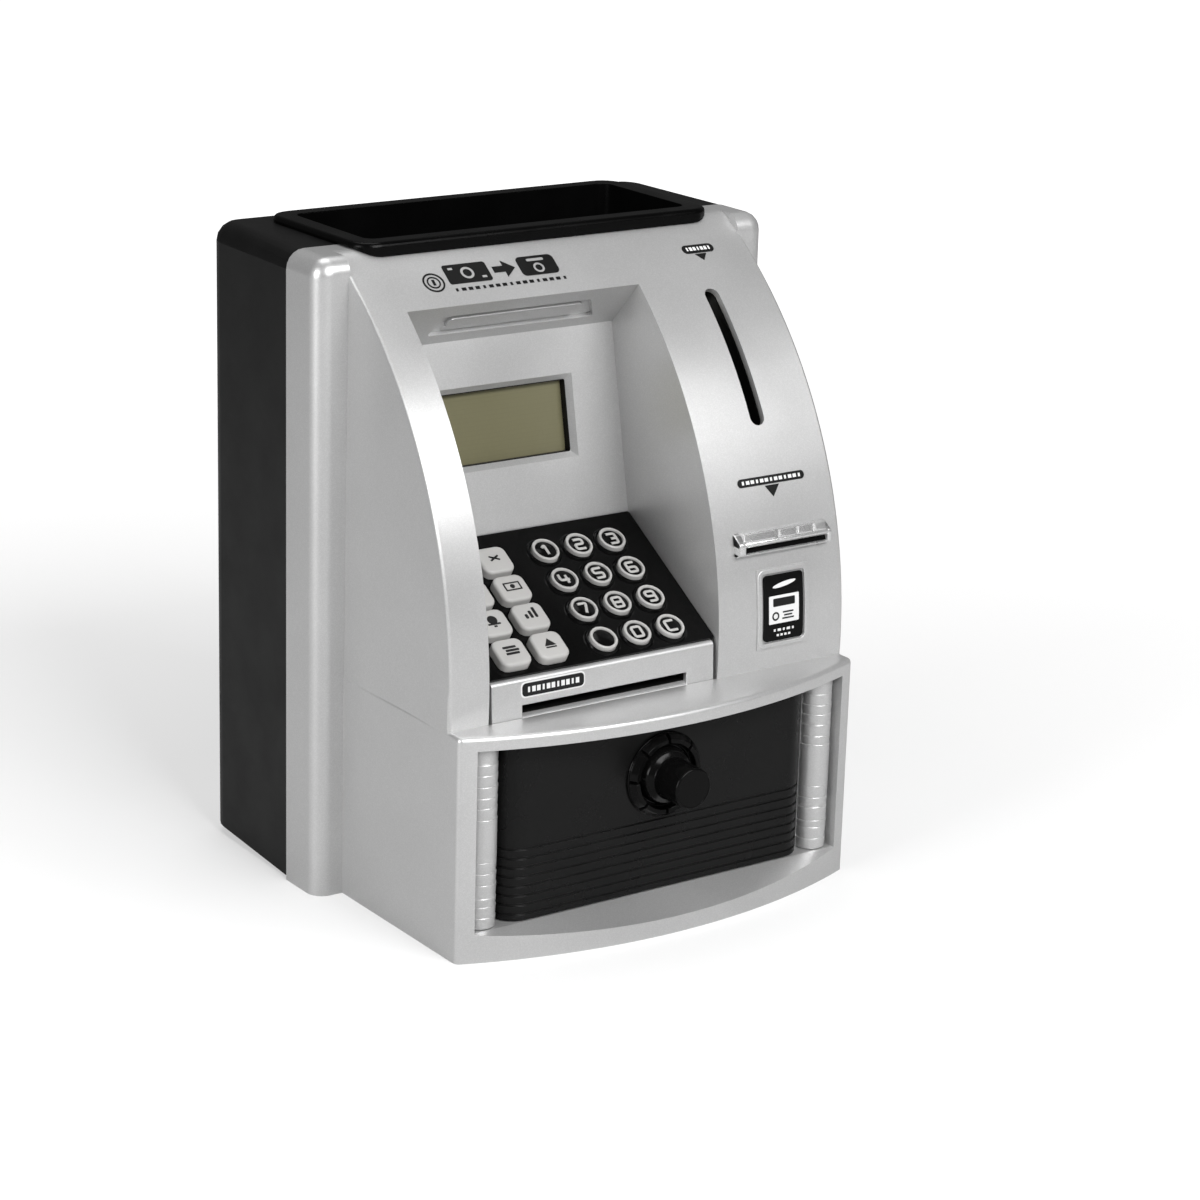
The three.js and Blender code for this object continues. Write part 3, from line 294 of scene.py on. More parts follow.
SILVER = silver_paint("silver_paint", grey(0.53), grey(0.64), 0.38, 0.60, 0.06)
CHROME = silver_paint("bright_silver", grey(0.66), grey(0.84), 0.27, 0.75, 0.03)
SATIN_BLACK = moulded_plastic("satin_black_plastic", grey(0.004), grey(0.006), 0.38, bump=0.08,
                              dust=0.006, shine=0.16)
DRAWER_BLACK = moulded_plastic("drawer_black_plastic", grey(0.004), grey(0.006), 0.28, bump=0.05, dust=0.004,
                               shine=0.17)
GLOSS_BLACK = moulded_plastic("gloss_black_plastic", grey(0.0025), grey(0.004), 0.16, bump=0.03, spread=0.04,
                              dust=0.002, shine=0.10)
# Black plastic for the top tray, darker than the other blacks: the extra darkness is painted shade inside the
# recessed tray.
TRAY_SHADED_BLACK = moulded_plastic("tray_black_plastic_painted_shade", grey(0.0012), grey(0.002), 0.26, bump=0.04,
                             dust=0.0, shine=0.08)
INNER_BLACK = moulded_plastic("inner_black_plastic", grey(0.004), grey(0.007), 0.5, dust=0.0, shine=0.2)
KEY_GREY = moulded_plastic("key_cap_plastic", (0.40, 0.395, 0.385, 1), (0.45, 0.445, 0.435, 1), 0.38,
                           bump=0.05, dust=0.02, shine=0.4)
RUBBER = moulded_plastic("grey_rubber", grey(0.02), grey(0.03), 0.75, grain=900.0, bump=0.2)
NYLON = moulded_plastic("white_nylon", (0.74, 0.73, 0.68, 1), (0.80, 0.79, 0.74, 1), 0.42)
STEEL = silver_paint("bright_steel", grey(0.48), grey(0.58), 0.28, 1.0, 0.04)
CELL_JACKET = moulded_plastic("cell_jacket", (0.45, 0.17, 0.04, 1), (0.52, 0.21, 0.05, 1), 0.3,
                              bump=0.03, coat=0.4)
INK = moulded_plastic("black_print", grey(0.006), grey(0.009), 0.34, bump=0.04, dust=0.0, shine=0.25)
PRINT_WHITE = moulded_plastic("white_print", grey(0.70), grey(0.78), 0.38, bump=0.04)
KEY_INK = moulded_plastic("key_print", grey(0.006), grey(0.010), 0.42, bump=0.04, dust=0.0, shine=0.3)


def circuit_board():
    """Green solder mask with copper tracks in a square grid."""
    material, tree, shader = start_material("circuit_board")
    place = put(tree, "ShaderNodeTexCoord").outputs["Object"]
    tracks = put(tree, "ShaderNodeTexBrick")
    feed(tree, tracks, Vector=place, Scale=210.0, Color1=(0.010, 0.085, 0.035, 1),
         Color2=(0.013, 0.11, 0.045, 1), Mortar=(0.05, 0.22, 0.08, 1))
    tracks.inputs["Mortar Size"].default_value = 0.03
    tree.links.new(tracks.outputs["Color"], shader.inputs["Base Color"])
    tree.links.new(remap(tree, noise(tree, place, 90.0), 0.3, 0.7, 0.3, 0.45), shader.inputs["Roughness"])
    add_bump(tree, shader, tracks.outputs["Fac"], 0.2, 0.00003)
    return material


def display_olive():
    """Reflective display: olive ground, faint rows and columns of cells, with soft lighter clouds over them.
    """
    material, tree, shader = start_material("display_olive")
    place = put(tree, "ShaderNodeTexCoord").outputs["Object"]
    cloud = noise(tree, place, 22.0, 2.0)
    cells = put(tree, "ShaderNodeTexBrick")
    feed(tree, cells, Vector=place, Scale=900.0, Color1=(0.135, 0.127, 0.070, 1),
         Color2=(0.140, 0.131, 0.072, 1), Mortar=(0.130, 0.122, 0.067, 1))
    shade = blend_colours(tree, remap(tree, cloud, 0.3, 0.7, 0.0, 0.35), cells.outputs["Color"],
                          (0.185, 0.175, 0.105, 1))
    tree.links.new(shade, shader.inputs["Base Color"])
    tree.links.new(remap(tree, cloud, 0.3, 0.7, 0.28, 0.36), shader.inputs["Roughness"])
    shader.inputs["Coat Weight"].default_value = 0.35
    shader.inputs["Coat Roughness"].default_value = 0.08
    return material


CIRCUIT = circuit_board()
DISPLAY = display_olive()


# ---------- mesh helpers ----------

def link_piece(name, mesh, material, body, smooth_angle=32.0):
    """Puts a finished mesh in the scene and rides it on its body."""
    piece = bpy.data.objects.new(name, mesh)
    scene.collection.objects.link(piece)
    mesh.materials.clear()
    mesh.materials.append(material)
    mesh.polygons.foreach_set("use_smooth", [True] * len(mesh.polygons))
    mesh.set_sharp_from_angle(angle=math.radians(smooth_angle))
    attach(piece, body)
    return piece


def to_piece(name, bm, material, body, smooth_angle=32.0, tidy=True):
    """Closes up a bmesh and makes it a piece."""
    if tidy:
        bmesh.ops.remove_doubles(bm, verts=bm.verts, dist=MERGE_GAP)
        bmesh.ops.recalc_face_normals(bm, faces=bm.faces)
    mesh = bpy.data.meshes.new(name)
    bm.to_mesh(mesh)
    bm.free()
    return link_piece(name, mesh, material, body, smooth_angle)


def body_of(node):
    return frame["nodes"][node]["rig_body"]


def round_edges(piece, width, segments=2, angle=35.0):
    bevel = piece.modifiers.new("rounded_edges", "BEVEL")
    bevel.width = width
    bevel.segments = segments
    bevel.limit_method = "ANGLE"
    bevel.angle_limit = math.radians(angle)
    bevel.use_clamp_overlap = True
    level = piece.modifiers.new("even_shading", "WEIGHTED_NORMAL")
    level.keep_sharp = True


def smooth_copy(node, name, material, edge=0.0, segments=2):
    """A merged copy of a CAD node, smooth-shaded, with its sharp edges rounded."""
    bm = bmesh.new()
    bm.from_mesh(frame["nodes"][node].data)
    bmesh.ops.remove_doubles(bm, verts=bm.verts, dist=MERGE_GAP)
    bmesh.ops.dissolve_limit(bm, angle_limit=math.radians(0.4), verts=bm.verts, edges=bm.edges)
    piece = to_piece(name, bm, material, body_of(node), tidy=False)
    if edge:
        round_edges(piece, edge, segments)
    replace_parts(piece, node)
    return piece


def merge_into(target, part, matrix=None):
    """Adds one bmesh to another and frees it."""
    if matrix is not None:
        bmesh.ops.transform(part, matrix=matrix, verts=part.verts)
    mesh = bpy.data.meshes.new("part")
    part.to_mesh(mesh)
    part.free()
    target.from_mesh(mesh)
    bpy.data.meshes.remove(mesh)


def push_out(bm, step):
    """Turns the flat faces of a fresh bmesh into a solid that reaches from there to the step."""
    grown = bmesh.ops.extrude_face_region(bm, geom=bm.faces[:])["geom"]
    moved = [v for v in grown if isinstance(v, bmesh.types.BMVert)]
    bmesh.ops.translate(bm, vec=step, verts=moved)
    bmesh.ops.recalc_face_normals(bm, faces=bm.faces)


def thicken(bm, thick):
    push_out(bm, (0, 0, thick))


def soften(bm, edges, width, segments=2):
    """Rounds the given edges of a bmesh."""
    bmesh.ops.bevel(bm, geom=edges, offset=width, offset_type="OFFSET", segments=segments, profile=0.5,
                    affect="EDGES", material=-1)


def plate(width, height, thick, corner=0.0, segments=5):
    """Rounded rectangle, thick along its own Z."""
    bm = bmesh.new()
    bmesh.ops.create_grid(bm, x_segments=1, y_segments=1, size=1.0)
    bmesh.ops.scale(bm, vec=(width / 2, height / 2, 1), verts=bm.verts)
    if corner:
        bmesh.ops.bevel(bm, geom=bm.verts[:], offset=corner, offset_type="OFFSET", segments=segments,
                        profile=0.5, affect="VERTICES", material=-1)
    thicken(bm, thick)
    return bm


def disc(radius, thick, segments=32, squash=1.0):
    bm = bmesh.new()
    bmesh.ops.create_circle(bm, cap_ends=True, segments=segments, radius=radius)
    bmesh.ops.scale(bm, vec=(1, squash, 1), verts=bm.verts)
    thicken(bm, thick)
    return bm


def triangle(width, height, thick):
    """Points down along its own Y."""
    bm = bmesh.new()
    bmesh.ops.create_circle(bm, cap_ends=True, segments=3, radius=1.0)
    bmesh.ops.rotate(bm, matrix=Matrix.Rotation(math.radians(180), 3, "Z"), verts=bm.verts)
    low = min(v.co.y for v in bm.verts)
    bmesh.ops.translate(bm, vec=(0, -low, 0), verts=bm.verts)
    span_x = max(v.co.x for v in bm.verts) - min(v.co.x for v in bm.verts)
    span_y = max(v.co.y for v in bm.verts)
    bmesh.ops.scale(bm, vec=(width / span_x, height / span_y, 1), verts=bm.verts)
    bmesh.ops.translate(bm, vec=(0, -height / 2, 0), verts=bm.verts)
    thicken(bm, thick)
    return bm


def ring(outer, inner, thick, segments=40):
    """Flat ring, square in section."""
    return turned([(inner, 0), (outer, 0), (outer, thick), (inner, thick), (inner, 0)], segments)


def turned(profile, segments=48, angle=360.0):
    """Spins a profile of (radius, height) round Z. A full turn is closed; a part turn has its ends filled."""
    bm = bmesh.new()
    verts = [bm.verts.new((r, 0, z)) for r, z in profile]
    edges = [bm.edges.new(pair) for pair in zip(verts, verts[1:])]
    full = angle == 360.0
    bmesh.ops.spin(bm, geom=verts + edges, cent=(0, 0, 0), axis=(0, 0, 1), dvec=(0, 0, 0),
                   angle=math.radians(angle), steps=segments, use_merge=full, use_normal_flip=False)
    bmesh.ops.remove_doubles(bm, verts=bm.verts, dist=1e-7)
    if not full:
        bmesh.ops.holes_fill(bm, edges=bm.edges, sides=0)
    bmesh.ops.recalc_face_normals(bm, faces=bm.faces)
    return bm


def round_path(points, radius, closed=False, steps=4):
    """Rounds the corners of a flat path for a stroke."""
    out = []
    count = len(points)
    for i, point in enumerate(points):
        p = Vector(point)
        if not closed and i in (0, count - 1):
            out.append(p)
            continue
        before, after = Vector(points[i - 1]) - p, Vector(points[(i + 1) % count]) - p
        reach = min(radius, before.length / 2, after.length / 2)
        a, b = p + before.normalized() * reach, p + after.normalized() * reach
        for k in range(steps + 1):
            t = k / steps
            out.append(a * (1 - t) ** 2 + p * (2 * t * (1 - t)) + b * t ** 2)
    return out


def stroke_mesh(paths, width, flat=0.55):
    """Raised rounded strokes along flat paths, each a (points, closed) pair, as a bmesh."""
    curve = bpy.data.curves.new("stroke", "CURVE")
    curve.dimensions = "3D"
    curve.bevel_depth = width / 2
    curve.bevel_resolution = 2
    curve.use_fill_caps = True
    for points, closed in paths:
        spline = curve.splines.new("POLY")
        spline.points.add(len(points) - 1)
        for target, point in zip(spline.points, points):
            target.co = (point[0], point[1], 0, 1)
        spline.use_cyclic_u = closed
    holder = bpy.data.objects.new("stroke", curve)
    scene.collection.objects.link(holder)
    mesh = bpy.data.meshes.new_from_object(holder)
    bpy.data.objects.remove(holder)
    bm = bmesh.new()
    bm.from_mesh(mesh)
    bpy.data.meshes.remove(mesh)
    bmesh.ops.scale(bm, vec=(1, 1, flat), verts=bm.verts)
    return bm


def at(x, y, z=0.0, turn=0.0):
    return Matrix.Translation((x, y, z)) @ Matrix.Rotation(math.radians(turn), 4, "Z")


def basis(across, up, out, origin):
    """Frame with local X, Y, Z along the three directions."""
    matrix = Matrix((across, up, out)).transposed().to_4x4()
    matrix.translation = origin
    return matrix


# ---------- places on the object ----------

SEAM_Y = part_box("back_cover")[0].y - 0.3 * MM
FASCIA_Y = SEAM_Y + 65.7 * MM           # centre and radius of the curved fascia
FASCIA_Z = 79.87 * MM
FASCIA_R = 144.5 * MM
X_AXIS = Vector((1, 0, 0))


def fascia_angle(z):
    return math.asin((z - FASCIA_Z) / FASCIA_R)


def bend_to_fascia(bm, x, z):
    """Lays a flat bmesh, drawn round its own origin, on the curved fascia at x and height z."""
    low, high = min(v.co.y for v in bm.verts), max(v.co.y for v in bm.verts)
    step = 2.4 * MM
    for k in range(1, int((high - low) / step) + 1):
        bmesh.ops.bisect_plane(bm, geom=bm.verts[:] + bm.edges[:] + bm.faces[:],
                               plane_co=(0, low + k * step, 0), plane_no=(0, 1, 0))
    middle = fascia_angle(z)
    for v in bm.verts:
        a = middle + v.co.y / FASCIA_R
        r = FASCIA_R + v.co.z
        v.co = Vector((x + v.co.x, FASCIA_Y - r * math.cos(a), FASCIA_Z + r * math.sin(a)))


def slide_axis(joint):
    for entry in frame["joints"]:
        if entry["name"] == joint:
            return Vector(entry["axis"]).normalized()


KEY_OUT = -slide_axis("key_digit_5_press")
KEY_UP = KEY_OUT.cross(X_AXIS).normalized()
KEY_TOP = 2.05 * MM                     # top of a round key above the panel
SQUARE_TOP = 2.8 * MM                   # top of a square key above the panel


def key_frame(node, top):
    """Frame on the panel surface under a key, with local Z out of the panel."""
    points = [v.co for v in frame["nodes"][node].data.vertices]
    low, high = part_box(node)
    x = (low.x + high.x) / 2
    reach = max(p.dot(KEY_OUT) for p in points)
    up = [p.dot(KEY_UP) for p in points]
    origin = X_AXIS * x + KEY_UP * ((min(up) + max(up)) / 2) + KEY_OUT * (reach - top)
    return basis(X_AXIS, KEY_UP, KEY_OUT, origin)


# ---------- carried-over CAD nodes ----------

CARRIED = {
    "drawer_runner": SATIN_BLACK, "display_module": INNER_BLACK, "key_sheet": RUBBER, "key_board": CIRCUIT,
    "note_guide": INNER_BLACK, "feed_shaft": STEEL, "feed_sleeve": RUBBER, "feed_gear": NYLON,
    "motor_pinion": NYLON, "pinch_roller": NYLON, "feed_motor": STEEL, "coin_chute": INNER_BLACK,
    "coin_lever": NYLON, "main_board": CIRCUIT, "speaker": INNER_BLACK, "battery_box": INNER_BLACK,
    "battery_cell_1": CELL_JACKET, "battery_cell_2": CELL_JACKET, "battery_cell_3": CELL_JACKET,
    "cam_latch": STEEL, "cover_screw_1": STEEL, "cover_screw_2": STEEL, "cover_screw_3": STEEL,
    "cover_screw_4": STEEL, "display_lens": DISPLAY,
}
for node, obj in frame["nodes"].items():
    obj.data.materials.clear()
    obj.data.materials.append(CARRIED.get(node, INNER_BLACK))

# ---------- shells ----------

smooth_copy("front_housing", "housing_shell", SILVER, 0.45 * MM, 3)
smooth_copy("back_cover", "cover_shell", SATIN_BLACK, 0.3 * MM)
smooth_copy("battery_door", "battery_hatch", SATIN_BLACK, 0.15 * MM)
smooth_copy("top_tray", "tray_shell", TRAY_SHADED_BLACK, 0.3 * MM)
smooth_copy("drawer_front", "drawer_face", DRAWER_BLACK, 0.12 * MM)
smooth_copy("drawer_tray", "drawer_box", DRAWER_BLACK, 0.25 * MM)
smooth_copy("key_panel", "key_panel_plate", GLOSS_BLACK, 0.2 * MM)

# ---------- round keys ----------

KEY_HALF_W = 1.55 * MM
KEY_HALF_H = 1.95 * MM
GLYPHS = {
    "key_digit_0": [([(-1, -1), (1, -1), (1, 1), (-1, 1)], True)],
    "key_digit_1": [([(-0.6, 0.45), (0.2, 1), (0.2, -1)], False)],
    "key_digit_2": [([(-0.95, 1), (1, 1), (1, 0), (-1, 0), (-1, -1), (1, -1)], False)],
    "key_digit_3": [([(-0.95, 1), (1, 1), (1, -1), (-0.95, -1)], False), ([(-0.3, 0), (1, 0)], False)],
    "key_digit_4": [([(-1, 1), (-1, -0.2), (1, -0.2)], False), ([(0.5, 0.7), (0.5, -1)], False)],
    "key_digit_5": [([(1, 1), (-1, 1), (-1, 0), (1, 0), (1, -1), (-1, -1)], False)],
    "key_digit_6": [([(0.9, 1), (-1, 1), (-1, -1), (1, -1), (1, 0), (-1, 0)], False)],
    "key_digit_7": [([(-1, 1), (1, 1), (0, -1)], False)],
    "key_digit_8": [([(-1, -1), (1, -1), (1, 1), (-1, 1)], True), ([(-1, 0), (1, 0)], False)],
    "key_digit_9": [([(1, 0), (-1, 0), (-1, 1), (1, 1), (1, -1), (-0.9, -1)], False)],
    "key_clear": [([(1, 1), (-1, 1), (-1, -1), (1, -1)], False)],
    "key_blank": [],
}
KEY_PROFILE = [
    (0, -4.2), (5.55, -4.2), (5.55, -3.2), (4.55, -3.2), (4.55, 1.55), (4.47, 1.85), (4.25, 2.03),
    (4.0, 2.05), (3.75, 2.0), (3.6, 1.8), (3.55, 1.45), (0, 1.45),
]
KEY_DISC = [(0, 1.4), (3.5, 1.4), (3.5, 1.5), (3.35, 1.58), (0, 1.58)]
COLLAR = [
    (4.92, -1.0), (4.92, 0.75), (5.05, 0.95), (5.3, 0.9), (5.6, 0.5), (5.75, 0.1), (6.1, -0.02),
    (6.1, -1.0), (4.92, -1.0),
]


def in_mm(profile):
    return [(r * MM, z * MM) for r, z in profile]


collars = bmesh.new()
for key, strokes in GLYPHS.items():
    place = key_frame(key, KEY_TOP)
    cap = turned(in_mm(KEY_PROFILE), 56)
    bmesh.ops.transform(cap, matrix=place, verts=cap.verts)
    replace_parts(to_piece(key + "_cap_shell", cap, KEY_GREY, body_of(key)), key)
    face = turned(in_mm(KEY_DISC), 48)
    bmesh.ops.transform(face, matrix=place, verts=face.verts)
    to_piece(key + "_disc", face, GLOSS_BLACK, body_of(key))
    merge_into(collars, turned(in_mm(COLLAR), 48), place)
    if strokes:
        paths = [(round_path([(x * KEY_HALF_W, y * KEY_HALF_H) for x, y in points], 0.8 * MM, closed), closed)
                 for points, closed in strokes]
        mark = stroke_mesh(paths, 1.0 * MM, 0.5)
        bmesh.ops.transform(mark, matrix=place @ at(0, 0, 1.62 * MM), verts=mark.verts)
        to_piece(key + "_mark", mark, KEY_GREY, body_of(key), 50)
to_piece("key_collars", collars, GLOSS_BLACK, HOUSING)

# ---------- square keys ----------

INK_THICK = 0.12 * MM
KEY_W = 10.9 * MM
KEY_H = 10.5 * MM


def square_cap():
    """Soft-cornered cap with a flat top and a rounded rim."""
    bm = bmesh.new()
    bmesh.ops.create_cube(bm, size=1.0)
    height = 6.5 * MM
    bmesh.ops.scale(bm, vec=(KEY_W, KEY_H, height), verts=bm.verts)
    bmesh.ops.translate(bm, vec=(0, 0, SQUARE_TOP - height / 2), verts=bm.verts)
    sides = [e for e in bm.edges if abs(e.verts[0].co.z - e.verts[1].co.z) > height / 2]
    soften(bm, sides, 2.7 * MM, 7)
    rim = [e for e in bm.edges if all(v.co.z > SQUARE_TOP - 1e-6 for v in e.verts)]
    soften(bm, rim, 1.0 * MM, 5)
    return bm


def bars(rows):
    """Thin printed bars, each (x, y, width, height, turn)."""
    bm = bmesh.new()
    for x, y, width, height, turn in rows:
        merge_into(bm, plate(width * MM, height * MM, INK_THICK, min(width, height) * 0.3 * MM, 2),
                   at(x * MM, y * MM, 0, turn))
    return bm


def key_symbol(index):
    """Generic pictograms for the eight square keys."""
    bm = bmesh.new()
    if index == 0:          # swap
        merge_into(bm, bars([(0, 0.5, 3.4, 0.5, 0), (0, -0.5, 3.4, 0.5, 0)]))
        merge_into(bm, triangle(1.6 * MM, 1.1 * MM, INK_THICK), at(1.8 * MM, 0.5 * MM, 0, 90))
        merge_into(bm, triangle(1.6 * MM, 1.1 * MM, INK_THICK), at(-1.8 * MM, -0.5 * MM, 0, -90))
    elif index == 1:        # crossed bars
        merge_into(bm, bars([(0, 0, 3.4, 0.6, 28), (0, 0, 3.4, 0.6, -28)]))
    elif index == 2:        # clock
        merge_into(bm, ring(1.9 * MM, 1.45 * MM, INK_THICK, 32))
        merge_into(bm, bars([(0, 0.55, 0.45, 1.3, 0), (0.45, 0, 1.1, 0.45, 0)]))
    elif index == 3:        # note
        merge_into(bm, bars([(0, 1.25, 5.2, 0.45, 0), (0, -1.25, 5.2, 0.45, 0), (-2.4, 0, 0.45, 2.6, 0),
                             (2.4, 0, 0.45, 2.6, 0)]))
        merge_into(bm, disc(0.75 * MM, INK_THICK, 24))
    elif index == 4:        # bell
        merge_into(bm, disc(1.5 * MM, INK_THICK, 28), at(0, 0.4 * MM))
        merge_into(bm, bars([(0, -1.05, 4.0, 0.6, 0), (0, -1.85, 1.0, 0.6, 0)]))
    elif index == 5:        # three columns
        merge_into(bm, bars([(-1.5, -0.5, 0.9, 1.6, 0), (0, 0, 0.9, 2.6, 0), (1.5, 0.5, 0.9, 3.6, 0)]))
    elif index == 6:        # stack of coins
        merge_into(bm, bars([(0, -1.1, 4.2, 0.75, 0), (0.35, 0, 4.2, 0.75, 0), (-0.15, 1.1, 4.2, 0.75, 0)]))
    else:                   # upward arrow
        merge_into(bm, triangle(3.6 * MM, 2.5 * MM, INK_THICK), at(0, 0.4 * MM, 0, 180))
        merge_into(bm, bars([(0, -1.4, 3.4, 0.45, 0)]))
    return bm


square_keys = [n for n in frame["nodes"] if n.startswith("key_side_")]
for index, key in enumerate(sorted(square_keys, key=lambda n: (n[-1], n))):
    place = key_frame(key, SQUARE_TOP)
    cap = square_cap()
    bmesh.ops.transform(cap, matrix=place, verts=cap.verts)
    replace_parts(to_piece(key + "_cap_shell", cap, KEY_GREY, body_of(key), 40), key)
    symbol = key_symbol(index)
    bmesh.ops.scale(symbol, vec=(1.12, 1.12, 1.0), verts=symbol.verts)
    bmesh.ops.transform(symbol, matrix=place @ at(0, 0.4 * MM, SQUARE_TOP - 0.04 * MM), verts=symbol.verts)
    to_piece(key + "_print", symbol, KEY_INK, body_of(key))

# ---------- display ----------

WINDOW_RUN = Vector((0, 11.8, 58.9)).normalized()
lens_low, lens_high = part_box("display_lens")
LENS_W = lens_high.x - lens_low.x
LENS_H = 22.3 * MM
display_frame = basis(X_AXIS, WINDOW_RUN, X_AXIS.cross(WINDOW_RUN), (lens_low + lens_high) / 2)


def rectangle_tube(width, height, wall, depth, corner=0.0):
    """Four-sided liner, open at both ends."""
    bm = bmesh.new()
    bmesh.ops.create_grid(bm, x_segments=1, y_segments=1, size=1.0)
    bmesh.ops.scale(bm, vec=(width / 2, height / 2, 1), verts=bm.verts)
    if corner:
        bmesh.ops.bevel(bm, geom=bm.verts[:], offset=corner, offset_type="OFFSET", segments=5,
                        profile=0.5, affect="VERTICES", material=-1)
    bmesh.ops.inset_region(bm, faces=bm.faces[:], thickness=wall, depth=0, use_boundary=True,
                           use_even_offset=True)
    middle = min(bm.faces, key=lambda f: f.calc_center_median().length)
    bmesh.ops.delete(bm, geom=[middle], context="FACES_ONLY")
    thicken(bm, depth)
    return bm


liner = rectangle_tube(LENS_W + 0.56 * MM, LENS_H + 0.56 * MM, 0.26 * MM, 2.35 * MM)
bmesh.ops.transform(liner, matrix=display_frame @ at(0, 0, 0.62 * MM), verts=liner.verts)
to_piece("display_liner", liner, INNER_BLACK, HOUSING)

# ---------- ridged columns ----------


COLUMN_LINES = (3.6, 7.0, 9.8, 14.0, 17.6, 21.5, 35.1, 38.4, 41.9, 45.5, 48.7, 52.3)


def column(node, seed):
    """Half-round column in two groups of ribs; each rib swells upwards and ends in a fine ledge."""
    draw = random.Random(seed)
    low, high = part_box(node)
    radius = (high.x - low.x) / 2
    total = high.z - low.z
    lines = [(z + draw.uniform(-0.25, 0.25)) * MM for z in COLUMN_LINES] + [total]
    profile = [(0, 0)]
    z = 0.0
    for line in lines:
        swell = 0.0 if line - z > 8 * MM else 0.16 * MM
        top = radius - draw.uniform(0.0, 0.05) * MM
        profile += [
            (top - swell, z + 0.02 * MM), (top - swell * 0.3, (z + line) / 2), (top, line - 0.22 * MM),
            (top - 0.03 * MM, line - 0.08 * MM), (top - 0.12 * MM, line - 0.01 * MM),
        ]
        z = line
    profile.append((0, total))
    bm = turned(profile, 48, 180.0)
    bmesh.ops.rotate(bm, cent=(0, 0, 0), matrix=Matrix.Rotation(math.pi, 3, "Z"), verts=bm.verts)
    bmesh.ops.translate(bm, vec=((low.x + high.x) / 2, high.y, low.z), verts=bm.verts)
    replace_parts(to_piece(node + "_ridges", bm, SILVER, HOUSING, 50), node)


column("column_left", 3)
column("column_right", 8)

# ---------- dial and knob ----------

dial_low, dial_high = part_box("dial_ring")
KNOB_X = (dial_low.x + dial_high.x) / 2
KNOB_Z = (dial_low.z + dial_high.z) / 2
FACE_Y = dial_high.y
# local Z of a turned part points out of the drawer
knob_frame = basis(X_AXIS, Vector((0, 0, 1)), Vector((0, -1, 0)), Vector((KNOB_X, FACE_Y, KNOB_Z)))
DIAL_BASE = [
    (9.6, 0), (13.75, 0), (13.75, 0.5), (13.6, 0.75), (10.6, 0.75), (9.9, 0.95), (9.6, 0.6), (9.6, 0),
]
DIAL_PAD = [
    (10.5, 0.5), (13.55, 0.5), (13.55, 1.0), (13.3, 1.4), (12.2, 2.75), (11.95, 2.95), (10.75, 2.95),
    (10.5, 2.75), (10.5, 0.5),
]
KNOB_PROFILE = [
    (0, -5.8), (3.0, -5.8), (3.0, 0.3), (9.1, 0.3), (9.25, 0.5), (9.2, 1.1), (8.45, 3.3), (8.1, 3.65),
    (6.9, 4.3), (6.7, 4.6), (6.62, 5.4), (6.62, 15.1), (6.5, 15.55), (6.2, 15.8), (5.9, 15.8),
    (5.75, 15.65), (0, 15.6),
]
dial = turned(in_mm(DIAL_BASE), 96)
PADS = 8
for pad_index in range(PADS):
    pad = turned(in_mm(DIAL_PAD), 12, 360 / PADS - 4.5)
    merge_into(dial, pad, Matrix.Rotation(math.radians(pad_index * 360 / PADS + 2.25), 4, "Z"))
bmesh.ops.transform(dial, matrix=knob_frame, verts=dial.verts)
dial_piece = to_piece("dial_segments", dial, GLOSS_BLACK, body_of("dial_ring"), 30, tidy=False)
round_edges(dial_piece, 0.12 * MM, 2, 40)
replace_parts(dial_piece, "dial_ring")
knob = turned(in_mm(KNOB_PROFILE), 96)
bmesh.ops.transform(knob, matrix=knob_frame, verts=knob.verts)
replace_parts(to_piece("knob_grip", knob, GLOSS_BLACK, body_of("knob"), 40), "knob")

# ---------- note feeder bezel ----------

note_low, note_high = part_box("note_bezel")
NOTE_X = (note_low.x + note_high.x) / 2


def fascia_y(z):
    return FASCIA_Y - math.sqrt(FASCIA_R ** 2 - (z - FASCIA_Z) ** 2)


def prism_x(section, x0, x1):
    """Solid with the given (y, z) section, straight along X."""
    bm = bmesh.new()
    bm.faces.new([bm.verts.new((x0, y, z)) for y, z in section])
    push_out(bm, (x1 - x0, 0, 0))
    return bm


# upper lip: slopes forward and down from the fascia, then turns under
lip_root = fascia_y(note_high.z)
lower_root = fascia_y(note_low.z)
lip_z = note_low.z + 3.1 * MM
upper = prism_x([
    (lip_root + 0.4 * MM, note_high.z), (lip_root - 1.2 * MM, note_high.z - 0.5 * MM),
    (lip_root - 4.2 * MM, lip_z + 1.7 * MM), (lip_root - 4.4 * MM, lip_z + 0.9 * MM),
    (lip_root - 3.6 * MM, lip_z), (lip_root + 0.4 * MM, lip_z + 0.4 * MM),
], note_low.x, note_high.x)
soften(upper, upper.edges[:], 0.35 * MM)
lower = prism_x([
    (lower_root + 0.9 * MM, note_low.z), (lower_root - 1.0 * MM, note_low.z + 0.1 * MM),
    (lower_root - 2.6 * MM, note_low.z + 1.3 * MM), (lower_root + 1.4 * MM, note_low.z + 1.6 * MM),
], note_low.x, note_high.x)
soften(lower, lower.edges[:], 0.25 * MM)
merge_into(upper, lower)
# end caps share the outline of both lips
for x0, x1 in ((note_low.x, note_low.x + 2.4 * MM), (note_high.x - 1.4 * MM, note_high.x)):
    cheek = prism_x([
        (lip_root + 0.4 * MM, note_high.z), (lip_root - 1.2 * MM, note_high.z - 0.5 * MM),
        (lip_root - 4.2 * MM, note_low.z + 4.8 * MM), (lip_root - 4.4 * MM, note_low.z + 3.9 * MM),
        (lower_root - 2.6 * MM, note_low.z + 1.2 * MM), (lower_root - 1.0 * MM, note_low.z + 0.1 * MM),
        (lower_root + 0.9 * MM, note_low.z),
    ], x0, x1)
    soften(cheek, cheek.edges[:], 0.3 * MM)
    merge_into(upper, cheek)
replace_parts(to_piece("note_lip", upper, CHROME, HOUSING, 35), "note_bezel")

